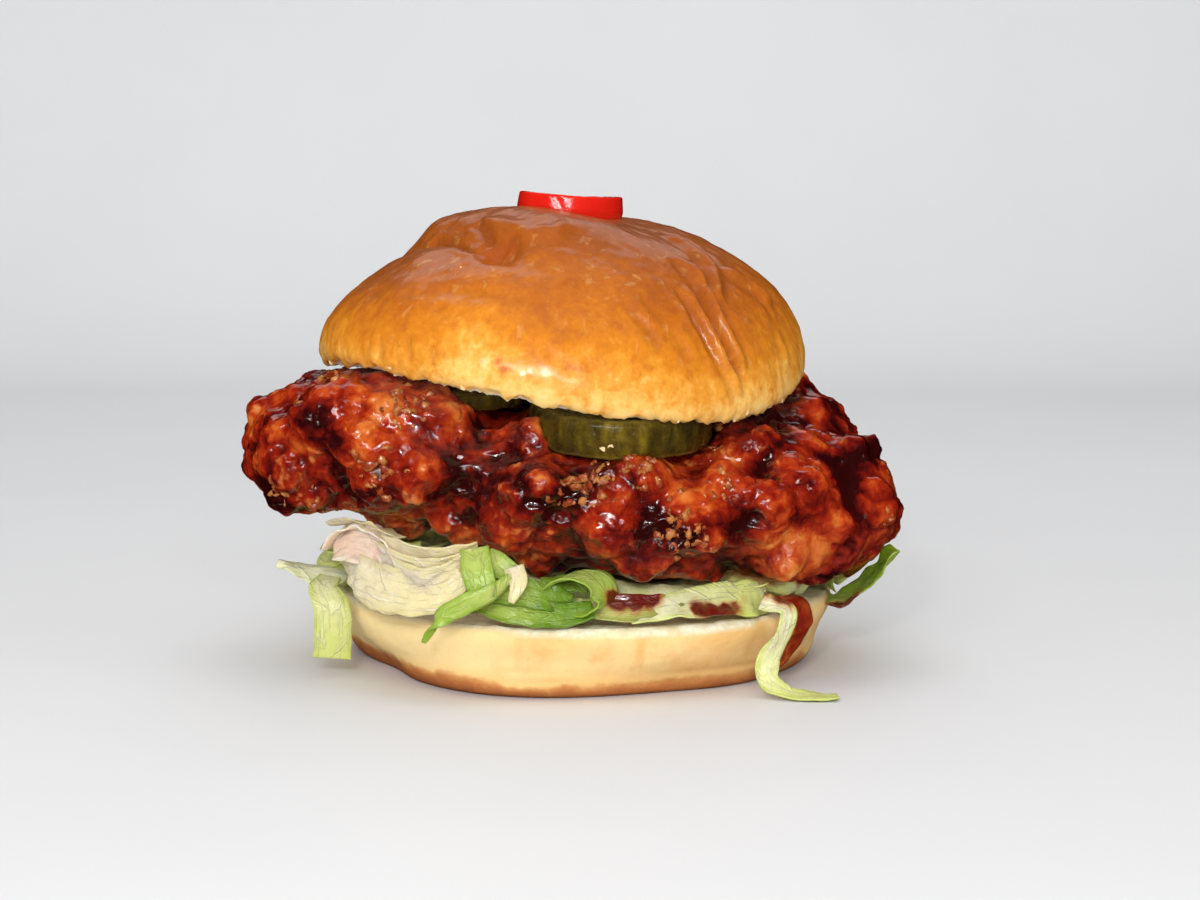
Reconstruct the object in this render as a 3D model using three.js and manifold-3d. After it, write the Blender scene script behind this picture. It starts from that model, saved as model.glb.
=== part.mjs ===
// A glazed fried-chicken burger: heel, shredded lettuce, craggy fillet, pickle slices, glossy crown
// and a ring of red chilli on top. Millimetres, +Z up, the front towards -Y.
// The origin lies on the heel's flat underside, below the middle of the whole.
import * as THREE from "three";
import { ImprovedNoise } from "three/addons/math/ImprovedNoise.js";
import { mergeVertices } from "three/addons/utils/BufferGeometryUtils.js";
import Module from "manifold-3d";

const wasm = await Module();
wasm.setup();

// Driving dimensions
const HEEL_RADIUS = 57.5; // widest, at the cut face
const HEEL_BASE_RADIUS = 50;
const HEEL_HEIGHT = 16.6;
const HEEL_CENTRE = new THREE.Vector3(2.5, 0, 0);
const CROWN_RADIUS = 55.5;
const CROWN_RISE = 35; // cut face to crest
const CROWN_CENTRE = new THREE.Vector3(-2, 0, 66.8);
const CROWN_NOD = THREE.MathUtils.degToRad(3.8); // leans to the front
const CROWN_LEAN = THREE.MathUtils.degToRad(1); // leans to the right
const PICKLE_RADIUS = 20;
const PICKLE_THICKNESS = 8.6;
const CHILLI_RADIUS = 12;
const CHILLI_WALL = 2.8;
const CHILLI_HEIGHT = 6.6;
const LEAF_THICKNESS = 1.1;
const GAP = 0.35; // between neighbours that touch

const perlin = new ImprovedNoise();
const smooth = THREE.MathUtils.smoothstep;

// Seeded draw in 0..1 from up to three whole numbers, for scattered shreds and crags.
function draw(i, j = 0, k = 0) {
  let h = Math.imul(i, 374761393) ^ Math.imul(j, 668265263) ^ Math.imul(k, 1274126177);
  h = Math.imul(h ^ (h >>> 15), 2246822519);
  h = Math.imul(h ^ (h >>> 13), 3266489917);
  return ((h ^ (h >>> 16)) >>> 0) / 4294967296;
}

// A closed geometry with shared vertices, each moved by shape(vertex).
function moulded(geometry, shape) {
  const bare = geometry.index ? geometry.toNonIndexed() : geometry;
  bare.deleteAttribute("normal");
  bare.deleteAttribute("uv");
  const merged = mergeVertices(bare, 1e-4);
  const position = merged.getAttribute("position");
  const v = new THREE.Vector3();
  for (let i = 0; i < position.count; i++) {
    shape(v.fromBufferAttribute(position, i), i);
    position.setXYZ(i, v.x, v.y, v.z);
  }
  return merged;
}

// A turned solid whose axis is +Z, from a profile of [radius, height] pairs.
function turned(profile, sides) {
  const points = profile.map(([r, h]) => new THREE.Vector2(r, h));
  return new THREE.LatheGeometry(points, sides).rotateX(Math.PI / 2);
}

function solidOf(geometry, matrix = new THREE.Matrix4()) {
  const placed = mergeVertices(geometry.clone().applyMatrix4(matrix), 1e-4);
  return new wasm.Manifold(
    new wasm.Mesh({
      numProp: 3,
      vertProperties: new Float32Array(placed.getAttribute("position").array),
      triVerts: new Uint32Array(placed.index.array),
    }),
  );
}

// The largest piece of a solid, so that a scrap left by a cut is dropped.
function largest(solid) {
  return solid.decompose().sort((a, b) => b.volume() - a.volume())[0];
}

function geometryOf(solid) {
  const mesh = largest(solid).getMesh();
  const geometry = new THREE.BufferGeometry();
  geometry.setAttribute("position", new THREE.BufferAttribute(mesh.vertProperties.slice(), 3));
  geometry.setIndex(new THREE.BufferAttribute(mesh.triVerts.slice(), 1));
  return geometry;
}

const burger = new THREE.Group();

function add(name, geometry, colour, roughness) {
  geometry.computeVertexNormals();
  const material = new THREE.MeshStandardMaterial({ color: colour, roughness, metalness: 0 });
  const mesh = new THREE.Mesh(geometry, material);
  mesh.name = name;
  burger.add(mesh);
  return mesh;
}

// Crown: the egg-washed top half. An ellipsoid dome over a cut face, with a raised lump behind a
// crease on its front left and a pinched dimple at the crease's end. It sags over what it lies on,
// so its rim twists: up at the front left, down at the front right.
const DIMPLE = new THREE.Vector2(-14, -25.5);
const CREASE_START = new THREE.Vector2(-42, 6);
const LUMP_RISE = 3.6;
const CREASE_DEPTH = 1.3;
const DIMPLE_DEPTH = 2.6;
const CROWN_TWIST = 0.0033; // rise of the rim per mm of x times mm of y
const CROWN_SHIFT = 1.2; // of the crest to the right
const CROWN_SIDES = 42;
const CROWN_RINGS = 11;

// How far the dome stands above its plain ellipsoid at (x, y).
function crownRelief(x, y) {
  const along = DIMPLE.clone().sub(CREASE_START);
  const length = along.length();
  along.divideScalar(length);
  const offset = new THREE.Vector2(x, y).sub(CREASE_START);
  const run = offset.dot(along);
  const behind = along.x * offset.y - along.y * offset.x;
  const near = smooth(run, -14, 4) * (1 - smooth(run, length, length + 18));
  const shoulder = 1 - smooth(-x, 29, 38);
  const lump = LUMP_RISE * near * shoulder * smooth(behind, 0, 8) * (1 - smooth(behind, 12, 36));
  const groove = CREASE_DEPTH * near * Math.exp(-((behind / 3) ** 2));
  const fromDimple = Math.hypot(x - DIMPLE.x, y - DIMPLE.y);
  const pinch = DIMPLE_DEPTH * Math.exp(-((fromDimple / 5.5) ** 2));
  const swell = 0.9 * perlin.noise(x / 26, y / 26, 3.7);
  return lump - groove - pinch + swell - 1.2 * smooth(-x, 30, 44);
}

function crownGeometry(grow = 0) {
  const profile = [[0, -grow], [26, -grow], [CROWN_RADIUS - 3.5 + grow, -grow]];
  for (let i = 0; i <= CROWN_RINGS; i++) {
    const turn = (i / CROWN_RINGS) * (Math.PI / 2);
    const radius = (CROWN_RADIUS + grow) * Math.cos(turn);
    profile.push([i === CROWN_RINGS ? 0 : radius, 2.2 + (CROWN_RISE - 2.2 + grow) * Math.sin(turn)]);
  }
  return moulded(turned(profile, CROWN_SIDES), (v) => {
    const angle = Math.atan2(v.y, v.x);
    const wobble = 1 + 0.012 * Math.sin(2 * angle + 0.6) + 0.008 * Math.sin(3 * angle - 1.1);
    const height = Math.max(v.z, 0) / CROWN_RISE;
    v.x = v.x * wobble + CROWN_SHIFT * height;
    v.y *= wobble;
    const twist = CROWN_TWIST * v.x * v.y * (v.y < 0 ? 1 : 0.35);
    v.z += crownRelief(v.x, v.y) * smooth(height, 0.1, 0.75) + twist * (1 - 0.85 * height);
  });
}

const crownPlace = new THREE.Matrix4().compose(
  CROWN_CENTRE,
  new THREE.Quaternion().setFromEuler(new THREE.Euler(CROWN_NOD, CROWN_LEAN, 0)),
  new THREE.Vector3(1, 1, 1),
);
const crownRoom = solidOf(crownGeometry(GAP), crownPlace);

// Heel: the pale bottom half, browned where it touched the tin, with a run of glaze down its
// right front.
const HEEL_SIDES = 40;
const HEEL_PROFILE = [
  [0, 0], [24, 0], [HEEL_BASE_RADIUS, 0], [51.9, 2.2], [53, 5], [55.2, 9], [57, 12.6],
  [HEEL_RADIUS, 15], [56.6, HEEL_HEIGHT], [40, HEEL_HEIGHT], [20, HEEL_HEIGHT], [0, HEEL_HEIGHT],
];
// Where the base stands out or in from round: degrees, mm and half width in degrees.
const BASE_BULGES = [[-15, 1.4, 14], [-68, -2.6, 16], [-108, 2.6, 20], [-154, -3, 15], [170, 2.6, 16]];
const DRIP_ANGLE = THREE.MathUtils.degToRad(-40);
const DRIP_WIDTH = 7;
const DRIP_FROM = 16.2;
const DRIP_TO = 2.6;

function baseBulge(angle) {
  let out = 0;
  for (const [at, rise, half] of BASE_BULGES) {
    const turn = THREE.MathUtils.euclideanModulo(THREE.MathUtils.radToDeg(angle) - at + 180, 360) - 180;
    out += rise * Math.exp(-((turn / half) ** 2));
  }
  return out;
}

function heelGeometry(grow = 0) {
  const profile = HEEL_PROFILE.map(([r, h]) => [
    r > 45 ? r + grow : r,
    h === HEEL_HEIGHT ? h + grow : h,
  ]);
  return moulded(turned(profile, HEEL_SIDES), (v) => {
    const angle = Math.atan2(v.y, v.x);
    const wobble = 1 + 0.01 * Math.sin(2 * angle + 2.2) + 0.009 * Math.sin(5 * angle);
    const side = v.z > 0 && v.z < HEEL_HEIGHT ? 0.5 * perlin.noise(angle * 3, v.z / 5, 8.3) : 0;
    const radius = Math.hypot(v.x, v.y);
    const base = radius > 45 ? baseBulge(angle) * (1 - smooth(v.z, 2, 11)) : 0;
    const scale = radius > 0 ? (wobble * radius + side + base) / radius : 1;
    v.x *= scale;
    v.y *= scale;
  });
}

// Radius of the heel's side at a height, before its wobble.
function heelRadius(z) {
  for (let i = 3; i < HEEL_PROFILE.length; i++) {
    const [r0, z0] = HEEL_PROFILE[i - 1];
    const [r1, z1] = HEEL_PROFILE[i];
    if (z <= z1 && z1 > z0) return r0 + ((r1 - r0) * (z - z0)) / (z1 - z0);
  }
  return HEEL_RADIUS;
}

function dripGeometry() {
  const drop = new THREE.CapsuleGeometry(1, 1.2, 4, 10, 6).rotateX(Math.PI / 2);
  const half = 1.6;
  return moulded(drop, (v) => {
    const along = (v.z + half) / (2 * half);
    const z = THREE.MathUtils.lerp(DRIP_TO, DRIP_FROM, along);
    const turn = DRIP_ANGLE + (v.y * DRIP_WIDTH * (0.4 + 0.12 * Math.sin(along * 5))) / HEEL_RADIUS;
    const radius = heelRadius(z) + 0.2 + 1.5 * v.x;
    v.set(radius * Math.cos(turn), radius * Math.sin(turn), z);
  });
}

const heelSolid = solidOf(heelGeometry()).add(solidOf(dripGeometry()));
const heel = add("heel", geometryOf(heelSolid), 0xf0cf8c, 0.55);
heel.position.copy(HEEL_CENTRE);
const heelPlace = new THREE.Matrix4().setPosition(HEEL_CENTRE);
const heelRoom = solidOf(heelGeometry(GAP), heelPlace);

// Fillet: one piece of breast in a craggy glazed coat, longer than the bun. Its mass is a smooth
// union of lobes, its coat is lumps half sunk in that, and finer crags stand on a seeded scatter.
const LOBES = [
  { at: [-58.5, -9, 49], radii: [16.7, 20.2, 13.7] },
  { at: [-35, -12, 50], radii: [24.2, 32.2, 16.2] },
  { at: [-38, -18, 57], radii: [18.2, 23.2, 12.2] },
  { at: [-47, -27, 59.5], radii: [13.5, 13.5, 8.5] },
  { at: [-54, -9, 56.5], radii: [14, 15, 9.5] },
  { at: [-6, 16, 47], radii: [40.2, 28.2, 22.2] },
  { at: [0, -14, 43], radii: [34.2, 38.2, 16.7] },
  { at: [17, -26, 38], radii: [30.2, 28.2, 13.7] },
  { at: [41, -9, 41], radii: [27.2, 34.2, 17.2] },
  { at: [38, 9, 46], radii: [24.2, 26.2, 20.2] },
  { at: [60, -10, 36], radii: [14.2, 22.2, 14.2] },
  { at: [51, 12, 46], radii: [14.2, 17.2, 13.2] },
  { at: [47, -20, 31.5], radii: [18, 21, 9.3] },
].map(({ at, radii }) => ({
  at: new THREE.Vector3(...at),
  radii: new THREE.Vector3(...radii),
}));
const LOBE_BLEND = 4;
const FILLET_CORE = new THREE.Vector3(2, -6, 44);
const FILLET_REACH = new THREE.Vector3(76, 46, 20);
const FILLET_DETAIL = 15; // of the icosahedron that it is pulled from

// Lumps of the coat seen from the front: x, z, radius and how far they stand out.
const FRONT_LUMPS = [
  [-57, 61, 7, 4.3], [-66, 56, 5, 3.9], [-52, 56, 6, 4.4], [-63, 48, 7.5, 3.9], [-65, 40, 6, 4.4],
  [-55, 41, 5, 3.9], [-42, 66, 6, 4.1], [-28, 61, 7, 5.3], [-36, 60, 4.5, 3.9], [-44, 54, 6, 5.1],
  [-32, 47.5, 7.5, 4.9], [-22, 49, 5, 4.3], [-43, 43, 7, 4.9], [-38, 35, 7, 4.5],
  [-26, 37, 7, 4.5], [-9, 55, 7, 4.9], [-8, 45, 7.5, 5.3], [-14, 36, 7, 4.7], [-5, 29, 7, 5.3],
  [2, 45, 4, 4.3], [8, 37, 7, 4.5], [8, 49, 4.5, 3.9], [16, 48, 7, 4.7], [33, 55, 7, 4.5],
  [25, 36, 6, 4.9], [43, 57, 6, 4.5], [56, 56, 7.5, 5.1], [42, 41, 7.5, 5.5], [33, 46, 5, 3.9],
  [60, 34, 7, 4.7], [69, 38, 6, 4.3], [64, 49, 6, 4.5], [56, 25, 7, 4.3], [45, 28, 7, 4.3],
  [29, 27, 7.5, 4.5], [15, 29, 7, 4.1], [52, 42, 6, 4.1],
];
const MORE_LUMPS = 90; // spots tried over the rest of the coat
const LUMP_SPACING = 11;
const LUMP_BLEND = 1.2;
const CRAGS = [
  { size: 8, depth: 1.6, seed: 11 },
  { size: 5, depth: 0.9, seed: 29 },
];

const offset = new THREE.Vector3();
const squeeze = new THREE.Vector3();

// Smooth union of two distances.
function union(a, b, blend) {
  const mix = Math.max(blend - Math.abs(a - b), 0) / blend;
  return Math.min(a, b) - (mix * mix * blend) / 4;
}

// Signed distance, nearly, to the fillet's smooth mass: negative inside.
function massField(p) {
  let field = 1e3;
  for (const { at, radii } of LOBES) {
    offset.subVectors(p, at).divide(radii);
    squeeze.copy(offset).divide(radii);
    const distance = (offset.length() * (offset.length() - 1)) / Math.max(squeeze.length(), 1e-6);
    field = union(field, distance, LOBE_BLEND);
  }
  return field;
}

const lumps = [];

function filletField(p) {
  let field = massField(p);
  for (const { at, radius } of lumps)
    field = union(field, offset.subVectors(p, at).length() - radius, LUMP_BLEND);
  return field;
}

function normalOf(field, p) {
  const step = 0.4;
  const n = new THREE.Vector3();
  for (const axis of ["x", "y", "z"]) {
    const ahead = p.clone();
    const behind = p.clone();
    ahead[axis] += step;
    behind[axis] -= step;
    n[axis] = field(ahead) - field(behind);
  }
  return n.normalize();
}

// The first point of a field's surface on the way from a start.
function strike(field, start, direction) {
  const p = start.clone();
  for (let i = 0; i < 220 && field(p) > 0; i++) p.addScaledVector(direction, 0.5);
  return p;
}

function addLump(p, radius, rise) {
  const centre = p.clone().addScaledVector(normalOf(massField, p), rise - radius);
  lumps.push({ at: centre, radius, spot: p });
}

for (const [x, z, radius, rise] of FRONT_LUMPS)
  addLump(strike(massField, new THREE.Vector3(x, -72, z), new THREE.Vector3(0, 1, 0)), radius, rise);

for (let i = 0; i < MORE_LUMPS; i++) {
  const z = 1 - (2 * i + 1) / MORE_LUMPS;
  const angle = i * Math.PI * (3 - Math.sqrt(5)) + draw(i, 71);
  const flat = Math.sqrt(1 - z * z);
  const ray = new THREE.Vector3(flat * Math.cos(angle), flat * Math.sin(angle), z);
  ray.multiply(FILLET_REACH).normalize();
  const start = FILLET_CORE.clone().addScaledVector(ray, 100);
  const p = strike(massField, start, ray.negate());
  const clear = lumps.every(({ spot }) => spot.distanceTo(p) > LUMP_SPACING);
  if (clear) addLump(p, 5 + 2.5 * draw(i, 72), 3 + 1.6 * draw(i, 73));
}

// Height 0..1 of the rounded crag over p, on a scatter with one dome in each cell.
function crag(p, size, seed) {
  const [cx, cy, cz] = [p.x / size, p.y / size, p.z / size];
  let nearest = Infinity;
  for (let i = Math.floor(cx) - 1; i <= Math.floor(cx) + 1; i++)
    for (let j = Math.floor(cy) - 1; j <= Math.floor(cy) + 1; j++)
      for (let k = Math.floor(cz) - 1; k <= Math.floor(cz) + 1; k++) {
        const dx = cx - i - draw(i + seed, j, k);
        const dy = cy - j - draw(i, j + seed, k);
        const dz = cz - k - draw(i, j, k + seed);
        nearest = Math.min(nearest, dx * dx + dy * dy + dz * dz);
      }
  return Math.max(0, 1 - 1.5 * nearest);
}

// Lists each vertex's neighbours.
function neighbours(geometry) {
  const index = geometry.index.array;
  const lists = Array.from({ length: geometry.getAttribute("position").count }, () => new Set());
  for (let i = 0; i < index.length; i += 3)
    for (const [a, b] of [[0, 1], [1, 2], [2, 0]]) {
      lists[index[i + a]].add(index[i + b]);
      lists[index[i + b]].add(index[i + a]);
    }
  return lists.map((set) => [...set]);
}

// The icosahedron drawn onto the fillet's surface, its points evened out along it.
const filletPoints = [];
const filletSkin = moulded(new THREE.IcosahedronGeometry(1, FILLET_DETAIL), (v) => {
  const ray = v.clone().multiply(FILLET_REACH).normalize();
  const start = FILLET_CORE.clone().addScaledVector(ray, 100);
  filletPoints.push(strike(filletField, start, ray.negate()));
});
const around = neighbours(filletSkin);
for (let pass = 0; pass < 14; pass++) {
  const eased = filletPoints.map((p, i) => {
    const mean = new THREE.Vector3();
    around[i].forEach((j) => mean.add(filletPoints[j]));
    return mean.divideScalar(around[i].length).lerp(p, 0.4);
  });
  eased.forEach((p, i) => {
    filletPoints[i].copy(p).addScaledVector(normalOf(filletField, p), -filletField(p));
  });
}

function filletGeometry(grow = 0) {
  return moulded(filletSkin, (v, i) => {
    const p = filletPoints[i];
    let lift = grow;
    for (const { size, depth, seed } of CRAGS) lift += depth * (crag(p, size, seed) - 0.5);
    v.copy(p).addScaledVector(normalOf(filletField, p), lift);
  });
}

// Pickles: thick rounds of gherkin pressed between fillet and crown.
const PICKLES = [
  { name: "pickle_front", at: [10.7, -30.5, 57.6], radius: PICKLE_RADIUS, thick: PICKLE_THICKNESS },
  { name: "pickle_back", at: [-23, -21, 63.6], radius: 14, thick: 3.6 },
];
const PICKLE_NOD = THREE.MathUtils.degToRad(4);
const PICKLE_LEAN = THREE.MathUtils.degToRad(1.5);

function pickleGeometry({ radius, thick }, grow = 0) {
  const r = radius + grow;
  const h = thick / 2 + grow;
  const rim = 0.9;
  const profile = [
    [0, -h], [r * 0.55, -h], [r - rim, -h], [r - 0.2, -h + rim], [r, 0], [r - 0.2, h - rim],
    [r - rim, h], [r * 0.55, h], [0, h],
  ];
  return moulded(turned(profile, 21), (v) => {
    const angle = Math.atan2(v.y, v.x);
    const lobed = 1 + 0.018 * Math.sin(3 * angle + radius) + 0.012 * Math.sin(7 * angle);
    v.x *= lobed;
    v.y *= lobed * 0.98;
    v.z += 0.25 * perlin.noise(v.x / 9, v.y / 9, radius);
  });
}

const picklePlaces = PICKLES.map((pickle) => {
  const mesh = add(pickle.name, pickleGeometry(pickle), 0x6f6a1c, 0.35);
  mesh.position.set(...pickle.at);
  mesh.rotation.set(PICKLE_NOD, PICKLE_LEAN, 0);
  mesh.updateMatrix();
  return mesh.matrix;
});
const pickleRooms = PICKLES.map((pickle, i) => {
  return solidOf(pickleGeometry(pickle, GAP), picklePlaces[i]);
});

// The crown's soft cut face gives way where the pickles press into it.
const crownInverse = crownPlace.clone().invert();
const crownSolid = pickleRooms.reduce(
  (solid, room) => solid.subtract(room.transform(crownInverse.elements)),
  solidOf(crownGeometry()),
);
const crown = add("crown", geometryOf(crownSolid), 0xd98a35, 0.3);
crown.position.copy(CROWN_CENTRE);
crown.rotation.set(CROWN_NOD, CROWN_LEAN, 0);

const filletSolid = pickleRooms.reduce(
  (solid, room) => solid.subtract(room),
  solidOf(filletGeometry()).subtract(crownRoom),
);
add("fillet", geometryOf(filletSolid), 0x8e2e12, 0.2);
const filletRoom = solidOf(filletGeometry(GAP));

// A leaf or shred: a thin sheet along stations of {at, across, wide}, curved smoothly between them,
// with ruffle waves. Both faces are split alike.
function leafGeometry({ stations, steps, lanes = 2, ruffle = 0.4, seed = 1 }, thick, grow = 0) {
  const track = (pick) => new THREE.CatmullRomCurve3(stations.map(pick), false, "centripetal");
  const spine = track(({ at }) => new THREE.Vector3(...at));
  const sideways = stations.map(({ across }) => new THREE.Vector3(...across).normalize());
  const half = thick / 2 + grow;
  const rows = [];
  for (let i = 0; i <= steps; i++) {
    const u = i / steps;
    const station = u * (stations.length - 1);
    const low = Math.min(Math.floor(station), stations.length - 2);
    const blend = smooth(station - low, 0, 1);
    const side = sideways[low].clone().lerp(sideways[low + 1], blend).normalize();
    const wide = THREE.MathUtils.lerp(stations[low].wide, stations[low + 1].wide, blend) + 2 * grow;
    const run = spine.getTangent(u);
    const face = new THREE.Vector3().crossVectors(run, side).normalize();
    side.crossVectors(face, run).normalize();
    const middle = spine.getPoint(u).addScaledVector(run, (2 * u - 1) * grow);
    const row = [];
    for (let j = 0; j <= lanes; j++) {
      const v = j / lanes - 0.5;
      const wave = ruffle * perlin.noise(u * steps * 0.45, v * 2.2, seed + 0.5);
      const cup = ruffle * (4 * v * v - 0.4);
      row.push(middle.clone().addScaledVector(side, v * wide).addScaledVector(face, wave + cup));
    }
    rows.push({ row, face });
  }
  const width = lanes + 1;
  const count = rows.length * width;
  const vertices = [];
  for (const sign of [1, -1])
    for (const { row, face } of rows)
      for (const p of row) vertices.push(...p.clone().addScaledVector(face, sign * half).toArray());
  const index = [];
  const quad = (a, b, c, d) => index.push(a, b, c, a, c, d);
  for (let i = 0; i < rows.length - 1; i++)
    for (let j = 0; j < lanes; j++) {
      const a = i * width + j;
      quad(a, a + width, a + width + 1, a + 1);
      index.push(a + count, a + count + width + 1, a + count + width);
      index.push(a + count, a + count + 1, a + count + width + 1);
    }
  for (let i = 0; i < rows.length - 1; i++) {
    const left = i * width;
    const right = left + lanes;
    quad(left, left + count, left + count + width, left + width);
    quad(right + width, right + width + count, right + count, right);
  }
  for (let j = 0; j < lanes; j++) {
    const first = j;
    const last = (rows.length - 1) * width + j;
    quad(first + 1, first + 1 + count, first + count, first);
    quad(last, last + count, last + 1 + count, last + 1);
  }
  const geometry = new THREE.BufferGeometry();
  geometry.setAttribute("position", new THREE.Float32BufferAttribute(vertices, 3));
  geometry.setIndex(index);
  return geometry;
}

// Leaves that hang out of the burger, each cut back where the fillet and heel press on it.
const LEAVES = [
  {
    name: "lettuce_cream_leaf", colour: 0xe9e6c0, steps: 13, lanes: 3, ruffle: 0.8, seed: 3,
    stations: [
      { at: [-51.5, -25, 26], across: [-0.1, 0.35, 1], wide: 8 },
      { at: [-46.5, -38, 25.6], across: [0.1, 0.4, 1], wide: 13 },
      { at: [-37, -48.5, 25.2], across: [0, 0.35, 1], wide: 14 },
      { at: [-28.5, -53.5, 25.6], across: [0, 0.3, 1], wide: 13 },
      { at: [-22, -56, 27.4], across: [0, 0.3, 1], wide: 8 },
    ],
  },
  {
    name: "lettuce_cream_curl", colour: 0xece3cc, steps: 14, lanes: 2, ruffle: 0.5, seed: 5,
    stations: [
      { at: [-52, -28, 29.5], across: [0.5, 1, 0.1], wide: 7 },
      { at: [-48.5, -33.5, 33.5], across: [0.5, 1, 0.1], wide: 8 },
      { at: [-43, -38.5, 33.5], across: [0.4, 1, 0], wide: 9 },
      { at: [-39.5, -43.5, 30], across: [0.4, 1, 0], wide: 8 },
      { at: [-43.5, -42.5, 26.4], across: [0.4, 1, 0.1], wide: 6 },
    ],
  },
  {
    name: "lettuce_left_wing", colour: 0xd6e2a4, steps: 8, lanes: 2, ruffle: 0.7, seed: 7,
    stations: [
      { at: [-50.5, -17, 20.6], across: [0.2, 1, 0.2], wide: 9 },
      { at: [-58.5, -15, 21.6], across: [0, 1, 0.35], wide: 9 },
      { at: [-67, -14, 23.4], across: [-0.1, 1, 0.2], wide: 3 },
    ],
  },
  {
    name: "lettuce_left_strip", colour: 0xcfe58c, steps: 12, lanes: 2, ruffle: 0.4, seed: 9,
    stations: [
      { at: [-54.5, -22, 21], across: [0.9, 0.4, 0], wide: 5 },
      { at: [-57.5, -26, 18.4], across: [1, 0.25, 0], wide: 6 },
      { at: [-54.6, -28.5, 14.2], across: [1, 0.1, 0], wide: 9 },
      { at: [-53.4, -28.8, 9.4], across: [1, 0.05, 0], wide: 9.6 },
      { at: [-53.8, -29, 4.4], across: [1, 0.05, 0.03], wide: 9.4 },
    ],
  },
  {
    name: "lettuce_green_strip", colour: 0xa9d152, steps: 14, lanes: 2, ruffle: 0.5, seed: 13,
    stations: [
      { at: [-19.2, -53.5, 31.5], across: [1, 0.1, 0.1], wide: 6 },
      { at: [-18.8, -57.2, 27], across: [1, 0.1, 0.3], wide: 6.4 },
      { at: [-20.5, -59.6, 22.4], across: [0.6, 0, 0.9], wide: 4.4 },
      { at: [-26.5, -58.4, 18.4], across: [0.5, 0.1, 0.9], wide: 3.6 },
      { at: [-31.5, -55.4, 13.4], across: [0.8, 0.1, 0.5], wide: 1.4 },
    ],
  },
  {
    name: "lettuce_white_tip", colour: 0xe4e8cf, steps: 5, lanes: 2, ruffle: 0.3, seed: 17,
    stations: [
      { at: [-12, -53.4, 29.4], across: [1, 0, 0.2], wide: 4.4 },
      { at: [-11, -57, 26.4], across: [1, 0, 0.3], wide: 3.8 },
      { at: [-12.4, -58.6, 22.6], across: [1, 0, 0.2], wide: 1 },
    ],
  },
  {
    name: "lettuce_green_fold", colour: 0x6fae2e, steps: 20, lanes: 2, ruffle: 0.35, seed: 19,
    stations: [
      { at: [-13.5, -53, 22.6], across: [0.1, 1, 0.2], wide: 6 },
      { at: [-17.8, -52.6, 20.6], across: [0, 1, 0.1], wide: 7 },
      { at: [-9, -53, 18.6], across: [0, 1, 0], wide: 8 },
      { at: [1, -53, 18.5], across: [0, 1, 0], wide: 9 },
      { at: [8.2, -53, 21.2], across: [-0.1, 1, 0], wide: 9 },
      { at: [6.6, -53, 26], across: [-0.2, 1, 0], wide: 9 },
      { at: [0.6, -54, 26.6], across: [-0.2, 1, 0], wide: 8 },
      { at: [-5.4, -54.5, 23.6], across: [0, 1, 0.1], wide: 7 },
    ],
  },
  {
    name: "lettuce_pale_wedge", colour: 0xdfe79a, steps: 12, lanes: 3, ruffle: 0.6, seed: 23,
    stations: [
      { at: [13, -55.4, 18.5], across: [0.2, 0.6, 0.8], wide: 2.5 },
      { at: [21, -53, 20.4], across: [0, 0.75, 0.65], wide: 6.5 },
      { at: [29.5, -49, 21.4], across: [0, 0.75, 0.65], wide: 8.5 },
      { at: [37, -44.5, 20.8], across: [0.2, 0.8, 0.6], wide: 8.5 },
      { at: [43, -38.5, 19.6], across: [0.5, 0.8, 0.3], wide: 6 },
    ],
  },
  {
    name: "lettuce_ribbon", colour: 0xd9e8a6, steps: 20, lanes: 2, ruffle: 0.3, seed: 31,
    stations: [
      { at: [41.5, -44.5, 20.4], across: [0.7, 0.2, 0.7], wide: 4 },
      { at: [47, -45.4, 18.4], across: [1, 0.3, -0.2], wide: 4.2 },
      { at: [46, -46.4, 13], across: [1, 0.7, 0], wide: 4.2 },
      { at: [43, -47.4, 8.2], across: [1, 0.2, 0.2], wide: 5 },
      { at: [43, -49.4, 3.8], across: [1, 0.2, 0.5], wide: 4.6 },
      { at: [47.4, -51.6, 1.4], across: [0.2, 1, 0.4], wide: 4 },
      { at: [52.5, -52.2, 0.95], across: [0, 1, 0.08], wide: 4.6 },
      { at: [57.8, -51.8, 0.95], across: [0, 1, 0.05], wide: 4 },
    ],
  },
  {
    name: "lettuce_right_leaf", colour: 0x8dbb42, steps: 10, lanes: 3, ruffle: 0.9, seed: 37,
    stations: [
      { at: [57.5, -13, 14.4], across: [0.1, 1, 0.1], wide: 8 },
      { at: [63, -12, 14.6], across: [0.1, 1, 0.2], wide: 10 },
      { at: [68, -11, 19], across: [0.1, 1, 0.3], wide: 11 },
      { at: [74.5, -10, 26], across: [0.1, 1, 0.35], wide: 7 },
    ],
  },
];

const leafRooms = [];
for (const leaf of LEAVES) {
  let fitted = solidOf(leafGeometry(leaf, LEAF_THICKNESS));
  for (const room of [heelRoom, filletRoom, ...leafRooms]) fitted = fitted.subtract(room);
  add(leaf.name, geometryOf(fitted), leaf.colour, 0.4);
  leafRooms.push(solidOf(leafGeometry(leaf, LEAF_THICKNESS, GAP)));
}

// Lettuce bed: the heap of shreds between heel and fillet. A core follows the fillet's underside,
// and the shreds that show round its rim are fused to it: some wander along the rim, others point
// outwards. They keep to the sides and back, because the leaves above fill the front.
const BED_RADIUS = 45;
const BED_LOW = HEEL_HEIGHT + GAP;
const BED_LEAST = 1.2; // thinnest that the core is pressed
const BED_FROM = -0.2; // radians from +X towards the back, where the shreds start
const BED_TO = Math.PI + 0.35;
const RIM_SHREDS = 9;
const LOOSE_SHREDS = 7;

// Height of the fillet's underside over (x, y), or the top of the search.
function underside(x, y) {
  const p = new THREE.Vector3(x, y, BED_LOW);
  while (p.z < 34 && filletField(p) > 2) p.z += 0.25;
  return p.z;
}

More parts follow.
